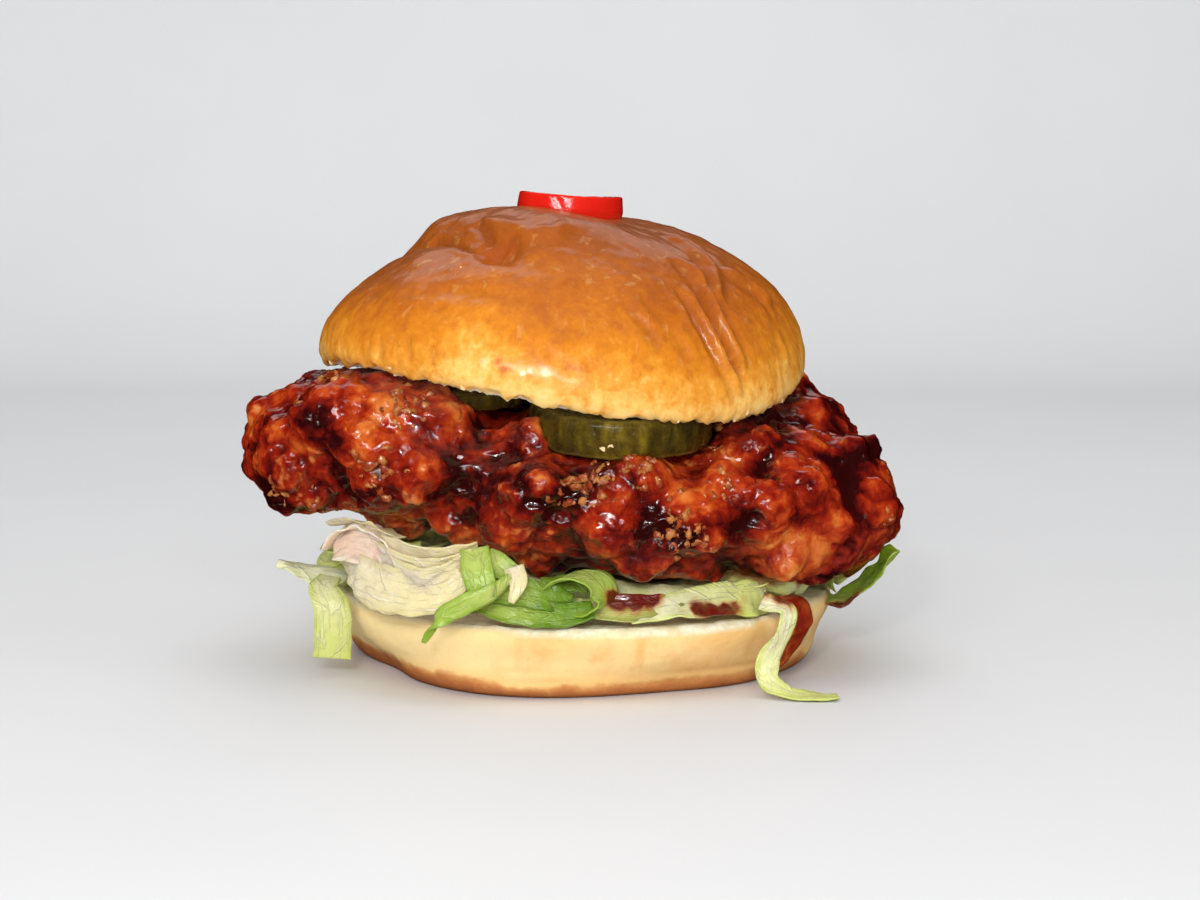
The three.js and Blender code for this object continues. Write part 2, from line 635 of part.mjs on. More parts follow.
function bedCore() {
  const profile = [[0, 0], [1, 0], [1.03, 0.5], [1, 1], [0.75, 1], [0.4, 1], [0, 1]];
  return moulded(turned(profile, 30), (v) => {
    const angle = Math.atan2(v.y, v.x);
    const front = smooth(-Math.sin(angle), 0.3, 0.95);
    const outline = BED_RADIUS - 2 * front + 3 * perlin.noise(angle * 2, 3 * v.z, 5.1);
    const edge = Math.hypot(v.x, v.y);
    v.x = HEEL_CENTRE.x + v.x * outline;
    v.y = HEEL_CENTRE.y + v.y * outline;
    const room = Math.min(underside(v.x, v.y), 30 - 3 * edge);
    const top = Math.max(room, BED_LOW + BED_LEAST);
    v.z = THREE.MathUtils.lerp(BED_LOW, top, v.z);
  });
}

// A point over the heel, at an angle and a distance from its middle.
function spot(angle, radius, z) {
  return [HEEL_CENTRE.x + radius * Math.cos(angle), HEEL_CENTRE.y + radius * Math.sin(angle), z];
}

function rimShred(i) {
  const start = BED_FROM + ((BED_TO - BED_FROM) * (i + 0.5 * draw(i, 1))) / RIM_SHREDS;
  const sweep = 0.3 + 0.25 * draw(i, 2);
  const bulge = 52 + 6 * draw(i, 3);
  const low = BED_LOW + 2.4 + 2.6 * draw(i, 4);
  const lean = 1.4 * (draw(i, 5) - 0.35);
  const wide = 4.5 + 3.5 * draw(i, 6);
  const stations = [[0, 42, 0], [0.35, bulge, 1.2], [0.7, bulge + 1.5, 0], [1, 44, 1.5]];
  return {
    steps: 6, lanes: 1, ruffle: 0.9, seed: 41 + i,
    stations: stations.map(([along, radius, rise]) => ({
      at: spot(start + along * sweep, radius, low + rise),
      across: [lean * Math.cos(start), lean * Math.sin(start), 1],
      wide,
    })),
  };
}

function looseShred(i) {
  const angle = BED_FROM + ((BED_TO - BED_FROM) * (i + 0.7 * draw(i, 11))) / LOOSE_SHREDS;
  const sweep = 0.5 * (draw(i, 12) - 0.5);
  const low = BED_LOW + 2 + 3 * draw(i, 13);
  const wide = 4 + 3 * draw(i, 14);
  const droop = 7 * draw(i, 15) ** 2;
  const across = [-Math.sin(angle), Math.cos(angle), draw(i, 16) - 0.5];
  return {
    steps: 4, lanes: 1, ruffle: 0.8, seed: 71 + i,
    stations: [
      { at: spot(angle, 40, low), across, wide },
      { at: spot(angle + 0.5 * sweep, 53, low + 1.5), across, wide },
      { at: spot(angle + sweep, 58 + 6 * draw(i, 17), low - droop), across, wide: 0.6 * wide },
    ],
  };
}

let bed = solidOf(bedCore());
for (let i = 0; i < RIM_SHREDS; i++) bed = bed.add(solidOf(leafGeometry(rimShred(i), LEAF_THICKNESS)));
for (let i = 0; i < LOOSE_SHREDS; i++)
  bed = bed.add(solidOf(leafGeometry(looseShred(i), LEAF_THICKNESS)));
for (const room of [filletRoom, heelRoom, ...leafRooms]) bed = bed.subtract(room);
add("lettuce_bed", geometryOf(bed), 0xc3da83, 0.45);

// Chilli ring: a slice of red chilli with its hollow middle, bedded on the crown.
const CHILLI_AT = new THREE.Vector3(-0.5, 5, 103);
const CHILLI_LEAN = THREE.MathUtils.degToRad(3.5);

function chilliGeometry() {
  const inner = CHILLI_RADIUS - CHILLI_WALL;
  const h = CHILLI_HEIGHT / 2;
  const profile = [
    [inner, -h], [CHILLI_RADIUS - 0.4, -h], [CHILLI_RADIUS, 0], [CHILLI_RADIUS - 0.3, h],
    [inner + 0.3, h], [inner, -h],
  ];
  return moulded(turned(profile, 21), (v) => {
    const angle = Math.atan2(v.y, v.x);
    const squash = 1 + 0.05 * Math.sin(2 * angle + 0.4) + 0.02 * Math.sin(3 * angle);
    v.x *= squash;
    v.y *= squash;
    v.z += v.z > 0 ? 0.2 * Math.sin(angle * 2 + 1.2) : 0;
  });
}

const chilliPlace = new THREE.Matrix4().makeRotationY(CHILLI_LEAN).setPosition(CHILLI_AT);
const chilliSolid = solidOf(chilliGeometry(), chilliPlace).subtract(crownRoom);
add("chilli_ring", geometryOf(chilliSolid), 0xd21f12, 0.25);

export default burger;
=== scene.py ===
from math import cos, pi, radians, sin, tau

import bpy
import numpy as np
from mathutils import Matrix, Quaternion, Vector, noise
from mathutils.bvhtree import BVHTree


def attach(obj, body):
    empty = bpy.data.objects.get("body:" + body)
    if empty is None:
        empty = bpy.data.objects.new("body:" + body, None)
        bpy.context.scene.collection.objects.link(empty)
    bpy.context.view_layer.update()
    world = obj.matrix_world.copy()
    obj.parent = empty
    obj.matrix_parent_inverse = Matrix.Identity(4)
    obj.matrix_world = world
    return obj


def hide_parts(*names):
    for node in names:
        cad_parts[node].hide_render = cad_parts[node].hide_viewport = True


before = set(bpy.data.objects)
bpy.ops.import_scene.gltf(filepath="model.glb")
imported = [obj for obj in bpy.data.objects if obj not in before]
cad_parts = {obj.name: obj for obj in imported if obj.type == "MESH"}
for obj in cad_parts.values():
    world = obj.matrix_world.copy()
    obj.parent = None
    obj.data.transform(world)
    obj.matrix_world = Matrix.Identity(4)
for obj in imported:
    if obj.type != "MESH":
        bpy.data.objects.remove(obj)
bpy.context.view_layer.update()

# The table, the light and the view
# A pale matt tabletop that sweeps up into a plain wall, under soft studio lamps. The camera
# stands at the height of the filling and looks slightly down, as in the photograph.


class Wire:
    """A value on its way through a bench of nodes. Each sum on it adds a Math node."""

    def __init__(self, bench, socket):
        self.bench = bench
        self.socket = socket

    def sum(self, kind, *terms):
        return self.bench.node("ShaderNodeMath", {"operation": kind}, dict(enumerate(terms)))

    def __add__(self, other):
        return self.sum("ADD", self, other)

    def __sub__(self, other):
        return self.sum("SUBTRACT", self, other)

    def __rsub__(self, other):
        return self.sum("SUBTRACT", other, self)

    def __mul__(self, other):
        return self.sum("MULTIPLY", self, other)

    def __rtruediv__(self, other):
        return self.sum("DIVIDE", other, self)

    def __abs__(self):
        return self.sum("ABSOLUTE", self)

    __radd__ = __add__
    __rmul__ = __mul__


class Bench:
    """The nodes of one finish, or of one tree that shapes a piece."""

    def __init__(self, tree):
        self.tree = tree

    def node(self, kind, settings=None, inputs=None, output=0):
        made = self.tree.nodes.new(kind)
        for name, value in (settings or {}).items():
            if name == "stops":
                bar = made.color_ramp.elements
                bar[0].position, bar[0].color = value[0]
                bar[1].position, bar[1].color = value[-1]
                for place, colour in value[1:-1]:
                    bar.new(place).color = colour
            else:
                setattr(made, name, value)
        self.fill(made, inputs or {})
        return Wire(self, made.outputs[output])

    def fill(self, made, inputs):
        """Links the wires and sets the plain values on a node's sockets."""
        for name, value in inputs.items():
            if isinstance(value, Wire):
                self.tree.links.new(value.socket, made.inputs[name])
            else:
                made.inputs[name].default_value = value

    def place(self):
        return self.node("ShaderNodeTexCoord", output="Object")

    def axis(self, letter):
        """How far a point lies along X, Y or Z, in metres."""
        return self.node("ShaderNodeSeparateXYZ", {}, {"Vector": self.place()}, letter)

    def upright(self, share):
        """The place with its height squeezed, so that a pattern on it runs up and down."""
        return self.node("ShaderNodeMapping", {},
                         {"Vector": self.place(), "Scale": (1.0, 1.0, share)})

    def point(self, x, y, z):
        return self.node("ShaderNodeCombineXYZ", {}, {"X": x, "Y": y, "Z": z})

    def mark(self, name):
        """A value that the mesh carries at each point."""
        return self.node("ShaderNodeAttribute", {"attribute_name": name}, output="Fac")

    def grain(self, size, detail=3.0, seed=0.0, at=None, rough=0.55, warp=0.0):
        """Cloudy noise, 0 to 1, with clouds about size metres across."""
        inputs = {"Vector": at or self.place(), "W": seed, "Scale": 1 / size, "Detail": detail,
                  "Roughness": rough, "Distortion": warp}
        return self.node("ShaderNodeTexNoise", {"noise_dimensions": "4D"}, inputs)

    def cells(self, size, seed=0.0, at=None, measure="EUCLIDEAN"):
        """Distance to the nearest of points strewn about size metres apart."""
        inputs = {"Vector": at or self.place(), "W": seed, "Scale": 1 / size}
        return self.node("ShaderNodeTexVoronoi", {
            "voronoi_dimensions": "4D", "distance": measure}, inputs, "Distance")

    def scaled(self, vector, by):
        return self.node("ShaderNodeVectorMath", {"operation": "SCALE"}, {0: vector, "Scale": by})

    def rise(self, value, low, high, foot=0.0, head=1.0):
        """Runs smoothly from foot to head while the value goes from low to high."""
        inputs = {"Value": value, "From Min": low, "From Max": high, "To Min": foot,
                  "To Max": head}
        return self.node("ShaderNodeMapRange", {"interpolation_type": "SMOOTHSTEP"}, inputs)

    def blend(self, share, first, second):
        """A colour between the first and the second, each a wire or red, green and blue."""
        first, second = (c if isinstance(c, Wire) else paint(*c) for c in (first, second))
        return self.node("ShaderNodeMix", {"data_type": "RGBA"},
                         {0: share, 6: first, 7: second}, 2)

    def ramp(self, value, *stops):
        """A colour from stops of (value, red, green, blue)."""
        stops = [(place, paint(*tint)) for place, *tint in stops]
        return self.node("ShaderNodeValToRGB", {"stops": stops}, {0: value})

    def layered(self, colour, *layers):
        """The colour with layers of (share, colour) laid over it in turn."""
        for share, tint in layers:
            colour = self.blend(share, colour, tint)
        return colour

    def bump(self, height, depth):
        """Low relief, in metres for a height of 1."""
        return self.node("ShaderNodeBump", {}, {"Height": height, "Distance": depth}, "Normal")


def paint(red, green, blue):
    """A colour as a screen shows it, 0 to 255, as the light that it sends."""
    return tuple((v / 255 / 12.92 if v < 10.4 else ((v / 255 + 0.055) / 1.055) ** 2.4)
                 for v in (red, green, blue)) + (1.0,)


def new_finish(name):
    material = bpy.data.materials.new(name)
    material.use_nodes = True
    bench = Bench(material.node_tree)
    bench.material = material
    return bench


def set_finish(bench, values):
    bench.fill(bench.tree.nodes["Principled BSDF"], values)


def soft_light(weight, radius, scale):
    """Light that goes a little way in and comes out again; the radius is for red, green, blue."""
    return {"Subsurface Weight": weight, "Subsurface Radius": radius, "Subsurface Scale": scale}


def in_scene(name, data):
    made = bpy.data.objects.new(name, data)
    bpy.context.collection.objects.link(made)
    return made


def carry(mesh, marks):
    """Writes the values that the mesh carries at each point."""
    for mark, values in marks.items():
        mesh.attributes.new(mark, "FLOAT", "POINT").data.foreach_set(
            "value", np.asarray(values, dtype=np.float32))


def mesh_piece(name, points, faces, material, marks=None):
    """A smooth-shaded piece from points in metres, with the values that it carries."""
    mesh = bpy.data.meshes.new(name)
    mesh.from_pydata(np.asarray(points).tolist(), [], faces)
    carry(mesh, marks or {})
    mesh.shade_smooth()
    mesh.materials.append(material)
    return in_scene(name, mesh)


scene = bpy.context.scene
scene.view_settings.view_transform = "Standard"

table_finish = new_finish("pale_table")
table_cloud = table_finish.grain(0.12, 4)
set_finish(table_finish, {
    "Base Color": table_finish.blend(table_cloud, (216, 217, 219), (224, 225, 227)),
    "Roughness": 0.55,
    "Specular IOR Level": 0.3,
})
# The tabletop ends 0.55 m behind the burger and bends up into the wall.
BEND = 0.35
sweep = [(-4.0, 0.0), (0.0, 0.0), (0.55, 0.0)]
sweep += [(0.55 + BEND * sin(a), BEND - BEND * cos(a)) for a in np.linspace(0.1, pi / 2, 14)]
sweep += [(0.55 + BEND, 1.4)]
table_points = [(x, y, z) for y, z in sweep for x in (-4.0, 4.0)]
table_faces = [(2 * i, 2 * i + 1, 2 * i + 3, 2 * i + 2) for i in range(len(sweep) - 1)]
table = mesh_piece("table", table_points, table_faces, table_finish.material)
table.visible_glossy = False


def lamp(name, place, aim, size, watts, tint=(1, 1, 1), depth=None, mirrored=True, roll=0):
    """A soft panel lamp. One that isn't mirrored lights the food but shows in no gloss."""
    light = bpy.data.lights.new(name, "AREA")
    light.shape = "RECTANGLE"
    light.size = size
    light.size_y = depth or size
    light.energy = watts
    light.color = tint
    holder = in_scene(name, light)
    holder.location = place
    facing = (Vector(aim) - Vector(place)).to_track_quat("-Z", "Y")
    holder.rotation_euler = (facing @ Quaternion((0, 0, 1), radians(roll))).to_euler()
    holder.visible_glossy = mirrored


WARM = (1, 0.988, 0.972)
lamp("overhead", (0.0, 0.0, 0.95), (0, 0, 0.05), 0.9, 2.2, WARM, mirrored=False)
lamp("back_panel", (-0.05, 0.78, 0.84), (0, 0, 0.08), 0.9, 1.5, depth=0.6)
lamp("front_panel", (-0.1, -0.92, 0.45), (0, 0, 0.05), 0.72, 4.5, WARM, depth=0.16, roll=-14)
lamp("flash", (-0.08, -0.72, 0.3), (0, 0, 0.05), 0.035, 1.1, WARM)
lamp("left", (-0.8, -0.6, 0.1), (0, 0, 0.01), 0.3, 1.4, WARM, mirrored=False)
lamp("right", (0.85, -0.4, 0.3), (0, 0, 0.05), 0.45, 0.9, WARM, mirrored=False)
lamp("low_front", (0.0, -1.0, 0.12), (0, 0, 0.02), 0.7, 0.65, WARM, depth=0.2, mirrored=False)
lamp("wall", (0.0, -0.1, 1.3), (0, 0.85, 0.25), 0.9, 3.4, mirrored=False)
sky = bpy.data.worlds.new("studio")
sky.use_nodes = True
sky.node_tree.nodes["Background"].inputs[0].default_value = (1, 0.99, 0.98, 1)
sky.node_tree.nodes["Background"].inputs[1].default_value = 0.5
sky.cycles_visibility.glossy = False
scene.world = sky

# How far below level the camera looks, in degrees.
LOOKS_DOWN = 7.574
lens = bpy.data.cameras.new("view")
lens.lens = 82.5
lens.sensor_width = 36
lens.clip_start = 0.01
view = in_scene("view", lens)
view.location = (0.00645, -0.6323, 0.1316)
view.rotation_euler = (radians(90 - LOOKS_DOWN), 0, 0)
scene.camera = view

# The heel
# The lower half of a soft roll: a pale skin over its flank, a brown base where it stood on the
# baking tray, and a white crumb face where the knife went through.

# In mm: where the heel's middle lies, its height, and its outline as radius and height.
HEEL_X = 2.5
HEEL_HEIGHT = 16.6
HEEL_OUTLINE = [(0, 0), (24, 0), (49.6, 0), (51.2, 1.2), (52.3, 3.2), (53.2, 5.4), (55.2, 9),
                (57, 12.6), (57.4, 15), (56.4, HEEL_HEIGHT), (40, HEEL_HEIGHT),
                (20, HEEL_HEIGHT), (0, HEEL_HEIGHT)]
HEEL_ROWS, HEEL_COLUMNS = 96, 320
BASE_RADIUS = 52
# Where the base stands out or in: degrees round, mm, and half the width in degrees.
BASE_BULGES = [(-15, 1.4, 14), (-68, -2.6, 16), (-108, 2.6, 20), (-154, -3, 15), (170, 2.6, 16)]


def smooth(value, low, high):
    share = np.clip((value - low) / (high - low), 0, 1)
    return share * share * (3 - 2 * share)


def cloud(points, size, seed=0.0, octaves=1):
    """Noise, about -1 to 1, at points in millimetres."""
    shift = Vector((seed * 3.7, seed * 1.3, seed * 2.1))
    out = np.empty(len(points))
    for i, point in enumerate(points):
        spot = Vector(point) / size + shift
        out[i] = noise.noise(spot)
        if octaves > 1:
            out[i] += 0.5 * noise.noise(spot * 2.03)
        if octaves > 2:
            out[i] += 0.25 * noise.noise(spot * 4.1)
    return out


def hump(value, width):
    """1 where the value is 0, and nearly nothing from twice the width off."""
    return np.exp(-(value / width) ** 2)


def spaced(outline, count, **how):
    """Points evenly apart along an outline, and the distance between two of them."""
    outline = np.array(outline, float)
    steps = np.r_[0, np.cumsum(np.hypot(*np.diff(outline, axis=0).T))]
    fine = np.linspace(0, steps[-1], count, **how)
    return np.stack([np.interp(fine, steps, outline[:, k]) for k in (0, 1)], 1), fine[1]


def resampled(outline, rows, rounding):
    """The outline as rows of points evenly apart, its corners eased over rounding mm. Its two
    ends, where the skin closes at its poles, are left off."""
    line, step = spaced(outline, 1200)
    reach = max(int(rounding / step), 1)
    kernel = np.hanning(2 * reach + 1)
    kernel /= kernel.sum()
    padded = np.vstack([np.repeat(line[:1], reach, 0), line, np.repeat(line[-1:], reach, 0)])
    eased = np.stack([np.convolve(padded[:, k], kernel, "valid") for k in (0, 1)], 1)
    return eased[np.linspace(0, len(eased) - 1, rows).astype(int)][1:-1]


def turned(profile, columns):
    """Rings of points round the upright axis, one for each (radius, height) of the profile."""
    angles = np.linspace(0, tau, columns, endpoint=False)
    radius, height = profile[:, 0, None], profile[:, 1, None]
    return np.stack([radius * np.cos(angles), radius * np.sin(angles),
                     height + 0 * angles], -1).reshape(-1, 3)


def skin_faces(rows, columns):
    """Faces of a closed skin of rings: fans at the two poles, which are the last two points."""
    grid = np.arange(rows * columns).reshape(rows, columns)
    right = np.roll(grid, -1, axis=1)
    faces = np.stack([grid[:-1], right[:-1], right[1:], grid[1:]], -1).reshape(-1, 4).tolist()
    foot, head = rows * columns, rows * columns + 1
    faces += [(foot, b, a) for a, b in zip(grid[0].tolist(), right[0].tolist())]
    faces += [(head, a, b) for a, b in zip(grid[-1].tolist(), right[-1].tolist())]
    return faces


def seat(piece, slot, *nodes):
    """Fixes the piece to the burger, in place of its solids."""
    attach(piece, "root")
    if nodes:
        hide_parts(*nodes)
    return piece


def lying(at, nod, lean):
    """How a piece lies: its place in mm, then its turns about X and Y in degrees."""
    return (Matrix.Translation(at) @ Matrix.Rotation(radians(nod), 4, "X")
            @ Matrix.Rotation(radians(lean), 4, "Y"))


def lay(points, lie):
    return points @ np.array(lie.to_3x3()).T + np.array(lie.translation)


def ground(points):
    angle = np.arctan2(points[:, 1], points[:, 0])
    return angle, np.hypot(points[:, 0], points[:, 1])


def degrees_off(angle, at):
    return np.mod(np.degrees(angle) - at + 180, 360) - 180


heel = turned(resampled(HEEL_OUTLINE, HEEL_ROWS, 1.2), HEEL_COLUMNS)
angle, radius = ground(heel)
height = heel[:, 2].copy()
flank = smooth(radius, 40, 52)
shape = 1 + 0.01 * np.sin(2 * angle + 2.2) + 0.009 * np.sin(5 * angle)
around = np.stack([26 * np.cos(angle), 26 * np.sin(angle), height], 1)
shape += flank * 0.006 * cloud(around, 9, 1.5, 2)
for at, rise, half in BASE_BULGES:
    shape += (flank * rise / BASE_RADIUS * hump(degrees_off(angle, at), half)
              * (1 - smooth(height, 2, 9.5)))
# Two shallow creases run round the flank and fade out in places.
upper = height - (7.0 + 1.8 * np.sin(angle * 2 + 0.6) + 1.6 * cloud(around, 12, 4.2))
lower = height - (3.9 + 1.1 * np.sin(angle * 3 + 2.0) + 1.3 * cloud(around, 10, 6.1))
fade = smooth(cloud(around, 16, 8.8), -0.1, 0.35)
shape -= flank * 0.004 * fade * hump(upper, 0.7)
shape -= flank * 0.0035 * fade * hump(lower, 0.6)
# This mark darkens the creases in the colour: painted shade.
heel_crease = flank * fade * (hump(upper, 0.5) + hump(lower, 0.45))
heel[:, :2] *= shape[:, None]
# At the front the white face bends down over the edge.
drawn_down = 2.1 * np.exp(-(degrees_off(angle, -78) / 34) ** 4)
drawn_down *= 0.75 + 0.5 * cloud(around, 6, 7.7)
cut = smooth(height, 16.0 - drawn_down, 16.4 - drawn_down)
pores = cloud(heel, 2.3, 3.3, 3) + 0.8 * cloud(heel, 6.5, 5.9)
heel[:, 2] += smooth(height, 16.3, 16.55) * (0.35 * pores - 0.25)
sag = flank * (1 - cut) * smooth(height, 14.5, 16.4)
heel[:, 2] += sag * 0.55 * cloud(around, 10, 2.6, 2)
heel[:, 2] = np.maximum(heel[:, 2], 0)
heel = (heel + (HEEL_X, 0, 0)) / 1000
heel_poles = np.array([[HEEL_X, 0, 0], [HEEL_X, 0, HEEL_HEIGHT - 0.3]]) / 1000

heel_finish = new_finish("heel_crust")
up = heel_finish.axis("Z") * 1000
patchy = heel_finish.grain(0.014, 4, 2.0)
fine = heel_finish.grain(0.0022, 5, 5.0)
across = heel_finish.axis("X") * 1000
# The left of the flank is painted paler than the rest: painted light where that side falls in
# shade.
left_side = heel_finish.rise(across, -6.0, -30.0)
edge = (up + (heel_finish.grain(0.011, 5, 7.0) - 0.5) * 7.5 + (fine - 0.5) * 1.6
        - left_side * 1.5 - 0.3)
skin_colour = heel_finish.ramp(
    edge * (1 / HEEL_HEIGHT), (0.0, 168, 96, 50), (0.1, 190, 118, 64), (0.16, 212, 150, 86),
    (0.22, 242, 202, 132), (0.5, 248, 218, 154), (1.0, 246, 210, 138))
upright = heel_finish.grain(0.007, 4, 8.0, warp=0.5, at=heel_finish.upright(0.35))
toast = (heel_finish.rise(patchy, 0.44, 0.68, 0.0, 0.7)
         + heel_finish.rise(upright, 0.52, 0.7, 0.0, 0.6)) * heel_finish.rise(up, 2.0, 7.0)
# Less toast towards the left: painted light.
toast = toast * (1 - left_side * 0.75) + (1 - left_side) * 0.14
skin_colour = heel_finish.layered(
    skin_colour, (toast * 0.6, (230, 162, 82)),
    (left_side * heel_finish.rise(up, 3.5, 7.0) * 0.45, (254, 232, 174)),
    # darker brown in the creases: painted shade
    (heel_finish.mark("crease") * 0.35, (190, 124, 62)),
    (heel_finish.rise(fine, 0.55, 0.85) * 0.25, (225, 180, 112)))
crumb_colour = heel_finish.blend(heel_finish.rise(fine, 0.35, 0.7), (222, 208, 168),
                                 (245, 238, 214))
open_face = heel_finish.mark("cut")
set_finish(heel_finish, {
    "Base Color": heel_finish.blend(open_face, skin_colour, crumb_colour),
    "Roughness": open_face * 0.4 + 0.46 + (fine - 0.5) * 0.2,
    **soft_light(0.12, (1.0, 0.6, 0.3), 0.004),
    "Normal": heel_finish.bump(fine + 0.5 * heel_finish.grain(0.0006, 3, 9.0), 0.00022),
})
heel_faces = skin_faces(HEEL_ROWS - 2, HEEL_COLUMNS)
heel_marks = {"cut": np.r_[cut, 0, 1], "crease": np.r_[heel_crease, 0, 0]}
seat(mesh_piece("heel_bun", np.vstack([heel, heel_poles]), heel_faces, heel_finish.material,
                heel_marks), "heel_crust", "heel")

# The lettuce
# Shredded iceberg: strips cut from thin crinkled leaves, white and stiff by the rib and green
# and limp at the rim. A heap of shreds lies on the heel and longer pieces hang out over its edge.


def track(stations, share):
    """Points on a smooth run through the stations, at shares 0 to 1 of their count."""
    knots = np.array(stations, float)
    knots = np.vstack([2 * knots[0] - knots[1], knots, 2 * knots[-1] - knots[-2]])
    reach = np.sqrt(np.linalg.norm(np.diff(knots, axis=0), axis=1)) + 1e-9
    spans = len(stations) - 1
    span = np.minimum((share * spans).astype(int), spans - 1)
    t = (share * spans - span)[:, None]
    a, b, c, d = (knots[span + k] for k in range(4))
    ra, rb, rc = (reach[span + k][:, None] for k in range(3))
    start = ((b - a) / ra - (c - a) / (ra + rb) + (c - b) / rb) * rb
    end = ((c - b) / rb - (d - b) / (rb + rc) + (d - c) / rc) * rb
    return (b + start * t + (3 * (c - b) - 2 * start - end) * t ** 2
            + (2 * (b - c) + start + end) * t ** 3)


def unit(rows):
    return rows / np.maximum(np.linalg.norm(rows, axis=-1, keepdims=True), 1e-9)


def leaf(stations, rows=90, lanes=14, ruffle=0.5, frill=0.5, thick=0.7, seed=1, rib=0.0):
    """A thin crinkled sheet as one closed skin. A station is x, y, z, then the way across the
    sheet there as three shares, and its width."""
    stations = np.array(stations, float)
    share = np.linspace(0, 1, rows)
    spine = track(stations[:, :3], share)
    width = track(stations[:, 6:], share)[:, 0].clip(0.6)
    run = unit(np.gradient(spine, axis=0))
    side = unit(track(unit(stations[:, 3:6]), share))
    face = unit(np.cross(run, side))
    side = unit(np.cross(face, run))
    across = np.linspace(-0.5, 0.5, lanes)
    length = np.r_[0, np.cumsum(np.linalg.norm(np.diff(spine, axis=0), axis=1))]
    flat = np.stack(np.meshgrid(length, across, indexing="ij"), -1)
    flat = np.concatenate([flat, np.full(flat.shape[:2] + (1,), seed * 7.1)], -1)
    flat[..., 1] *= width[:, None]
    plan = flat.reshape(-1, 3)
    wave = ruffle * cloud(plan, 7.0, seed, 2) + 0.4 * ruffle * cloud(plan, 2.6, seed + 3)
    wave = wave.reshape(rows, lanes)
    rim = (2 * np.abs(across))[None, :] ** 3
    phase = flat[..., 0] / 5.2 * tau / 2 + seed + 2.5 * np.sign(across)[None, :]
    wave = wave + frill * rim * np.sin(phase + 1.3 * np.sin(flat[..., 0] / 3.1 + seed))
    wave = wave + ruffle * (4 * across[None, :] ** 2 - 0.4)
    ragged = 1 + 0.1 * cloud(plan, 3.0, seed + 9).reshape(rows, lanes) * rim
    middle = (spine[:, None] + (flat[..., 1] * ragged)[..., None] * side[:, None]
              + wave[..., None] * face[:, None])
    lie = unit(np.cross(np.gradient(middle, axis=0), np.gradient(middle, axis=1)))
    stem = hump(across - 0.08, 0.16)[None, :] * rib * (1 - 0.7 * share[:, None])
    half = (thick / 2 * (1 - 0.55 * rim) * smooth(share, -0.06, 0.05)[:, None]
            * (1 - smooth(share, 0.96, 1.06))[:, None] + stem)[..., None]
    top, under = middle + half * lie, middle - half * lie
    count = rows * lanes
    grid = np.arange(count).reshape(rows, lanes)
    upper = np.stack([grid[:-1, :-1], grid[1:, :-1], grid[1:, 1:], grid[:-1, 1:]], -1)
    upper = upper.reshape(-1, 4)
    lower = upper[:, ::-1] + count
    loop = np.r_[grid[:, 0], grid[-1, 1:], grid[-2::-1, -1], grid[0, -2:0:-1]]
    after = np.roll(loop, -1)
    wall = np.stack([after, loop, loop + count, after + count], -1)
    faces = np.vstack([upper, lower, wall])
    points = np.vstack([top.reshape(-1, 3), under.reshape(-1, 3)]) / 1000
    marks = {"along": np.repeat(share, lanes), "sides": np.tile(across, rows),
             "run": flat[..., 0].ravel() + seed * 13, "off": flat[..., 1].ravel()}
    return points, faces, {name: np.tile(values, 2) for name, values in marks.items()}


def leaf_finish(name, heart, blade, rim_colour, vein, shade):
    """Wet leaf: heart colour by the rib, blade colour outwards, with fine veins lengthways."""
    bench = new_finish(name)
    cloudy = bench.grain(0.006, 4, 3.0, warp=0.6)
    along, sides = bench.mark("along"), bench.mark("sides")
    run, off = bench.mark("run"), bench.mark("off")
    way = bench.point(run * 0.1, off * 1.5 + (cloudy - 0.5) * 2.4, 0.0)
    fibre = bench.grain(1.0, 3, 6.0, at=way, warp=0.4)
    branch = bench.point(run * 0.42 + abs(off) * 0.5, off * 0.12 + (cloudy - 0.5) * 0.8, 3.0)
    twigs = bench.rise(bench.grain(1.0, 2, 8.0, at=branch), 0.56, 0.66)
    lines = bench.rise(fibre, 0.54, 0.68)
    rim = bench.rise(abs(sides) + (cloudy - 0.5) * 0.4, 0.22, 0.52)
    sauce = bench.rise(bench.mark("stain") + (cloudy - 0.5) * 1.6, 0.45, 0.95)
    smear = bench.rise(bench.mark("pool") + (cloudy - 0.5) * 1.2, 0.2, 0.6)
    pool = bench.rise(bench.mark("pool") + (cloudy - 0.5) * 1.0, 0.42, 0.62)
    crinkle = bench.grain(0.0024, 3, 5.0)
    colour = bench.layered(
        heart, (bench.rise(along + (cloudy - 0.5) * 0.9, 0.15, 0.8), blade),
        (rim * 0.8, rim_colour), (lines * 0.55 + twigs * 0.35, vein),
        (bench.rise(cloudy, 0.25, 0.5, 0.5, 0.0), shade), (sauce * 0.85, (150, 62, 22)),
        (smear * 0.8, (172, 70, 24)), (pool, (104, 16, 8)), ((crinkle - 0.4) * 0.4, shade))
    set_finish(bench, {
        "Base Color": colour,
        "Coat Weight": pool * 0.9, "Coat Roughness": 0.05,
        "Roughness": fibre * 0.2 + 0.22,
        "Specular IOR Level": 0.5,
        **soft_light(0.4, (0.8, 1.0, 0.35), 0.003),
        "Normal": bench.bump(lines * 0.4 + twigs * 0.4 + fibre * 0.3 + crinkle * 0.9, 0.0006),
    })
    return bench.material


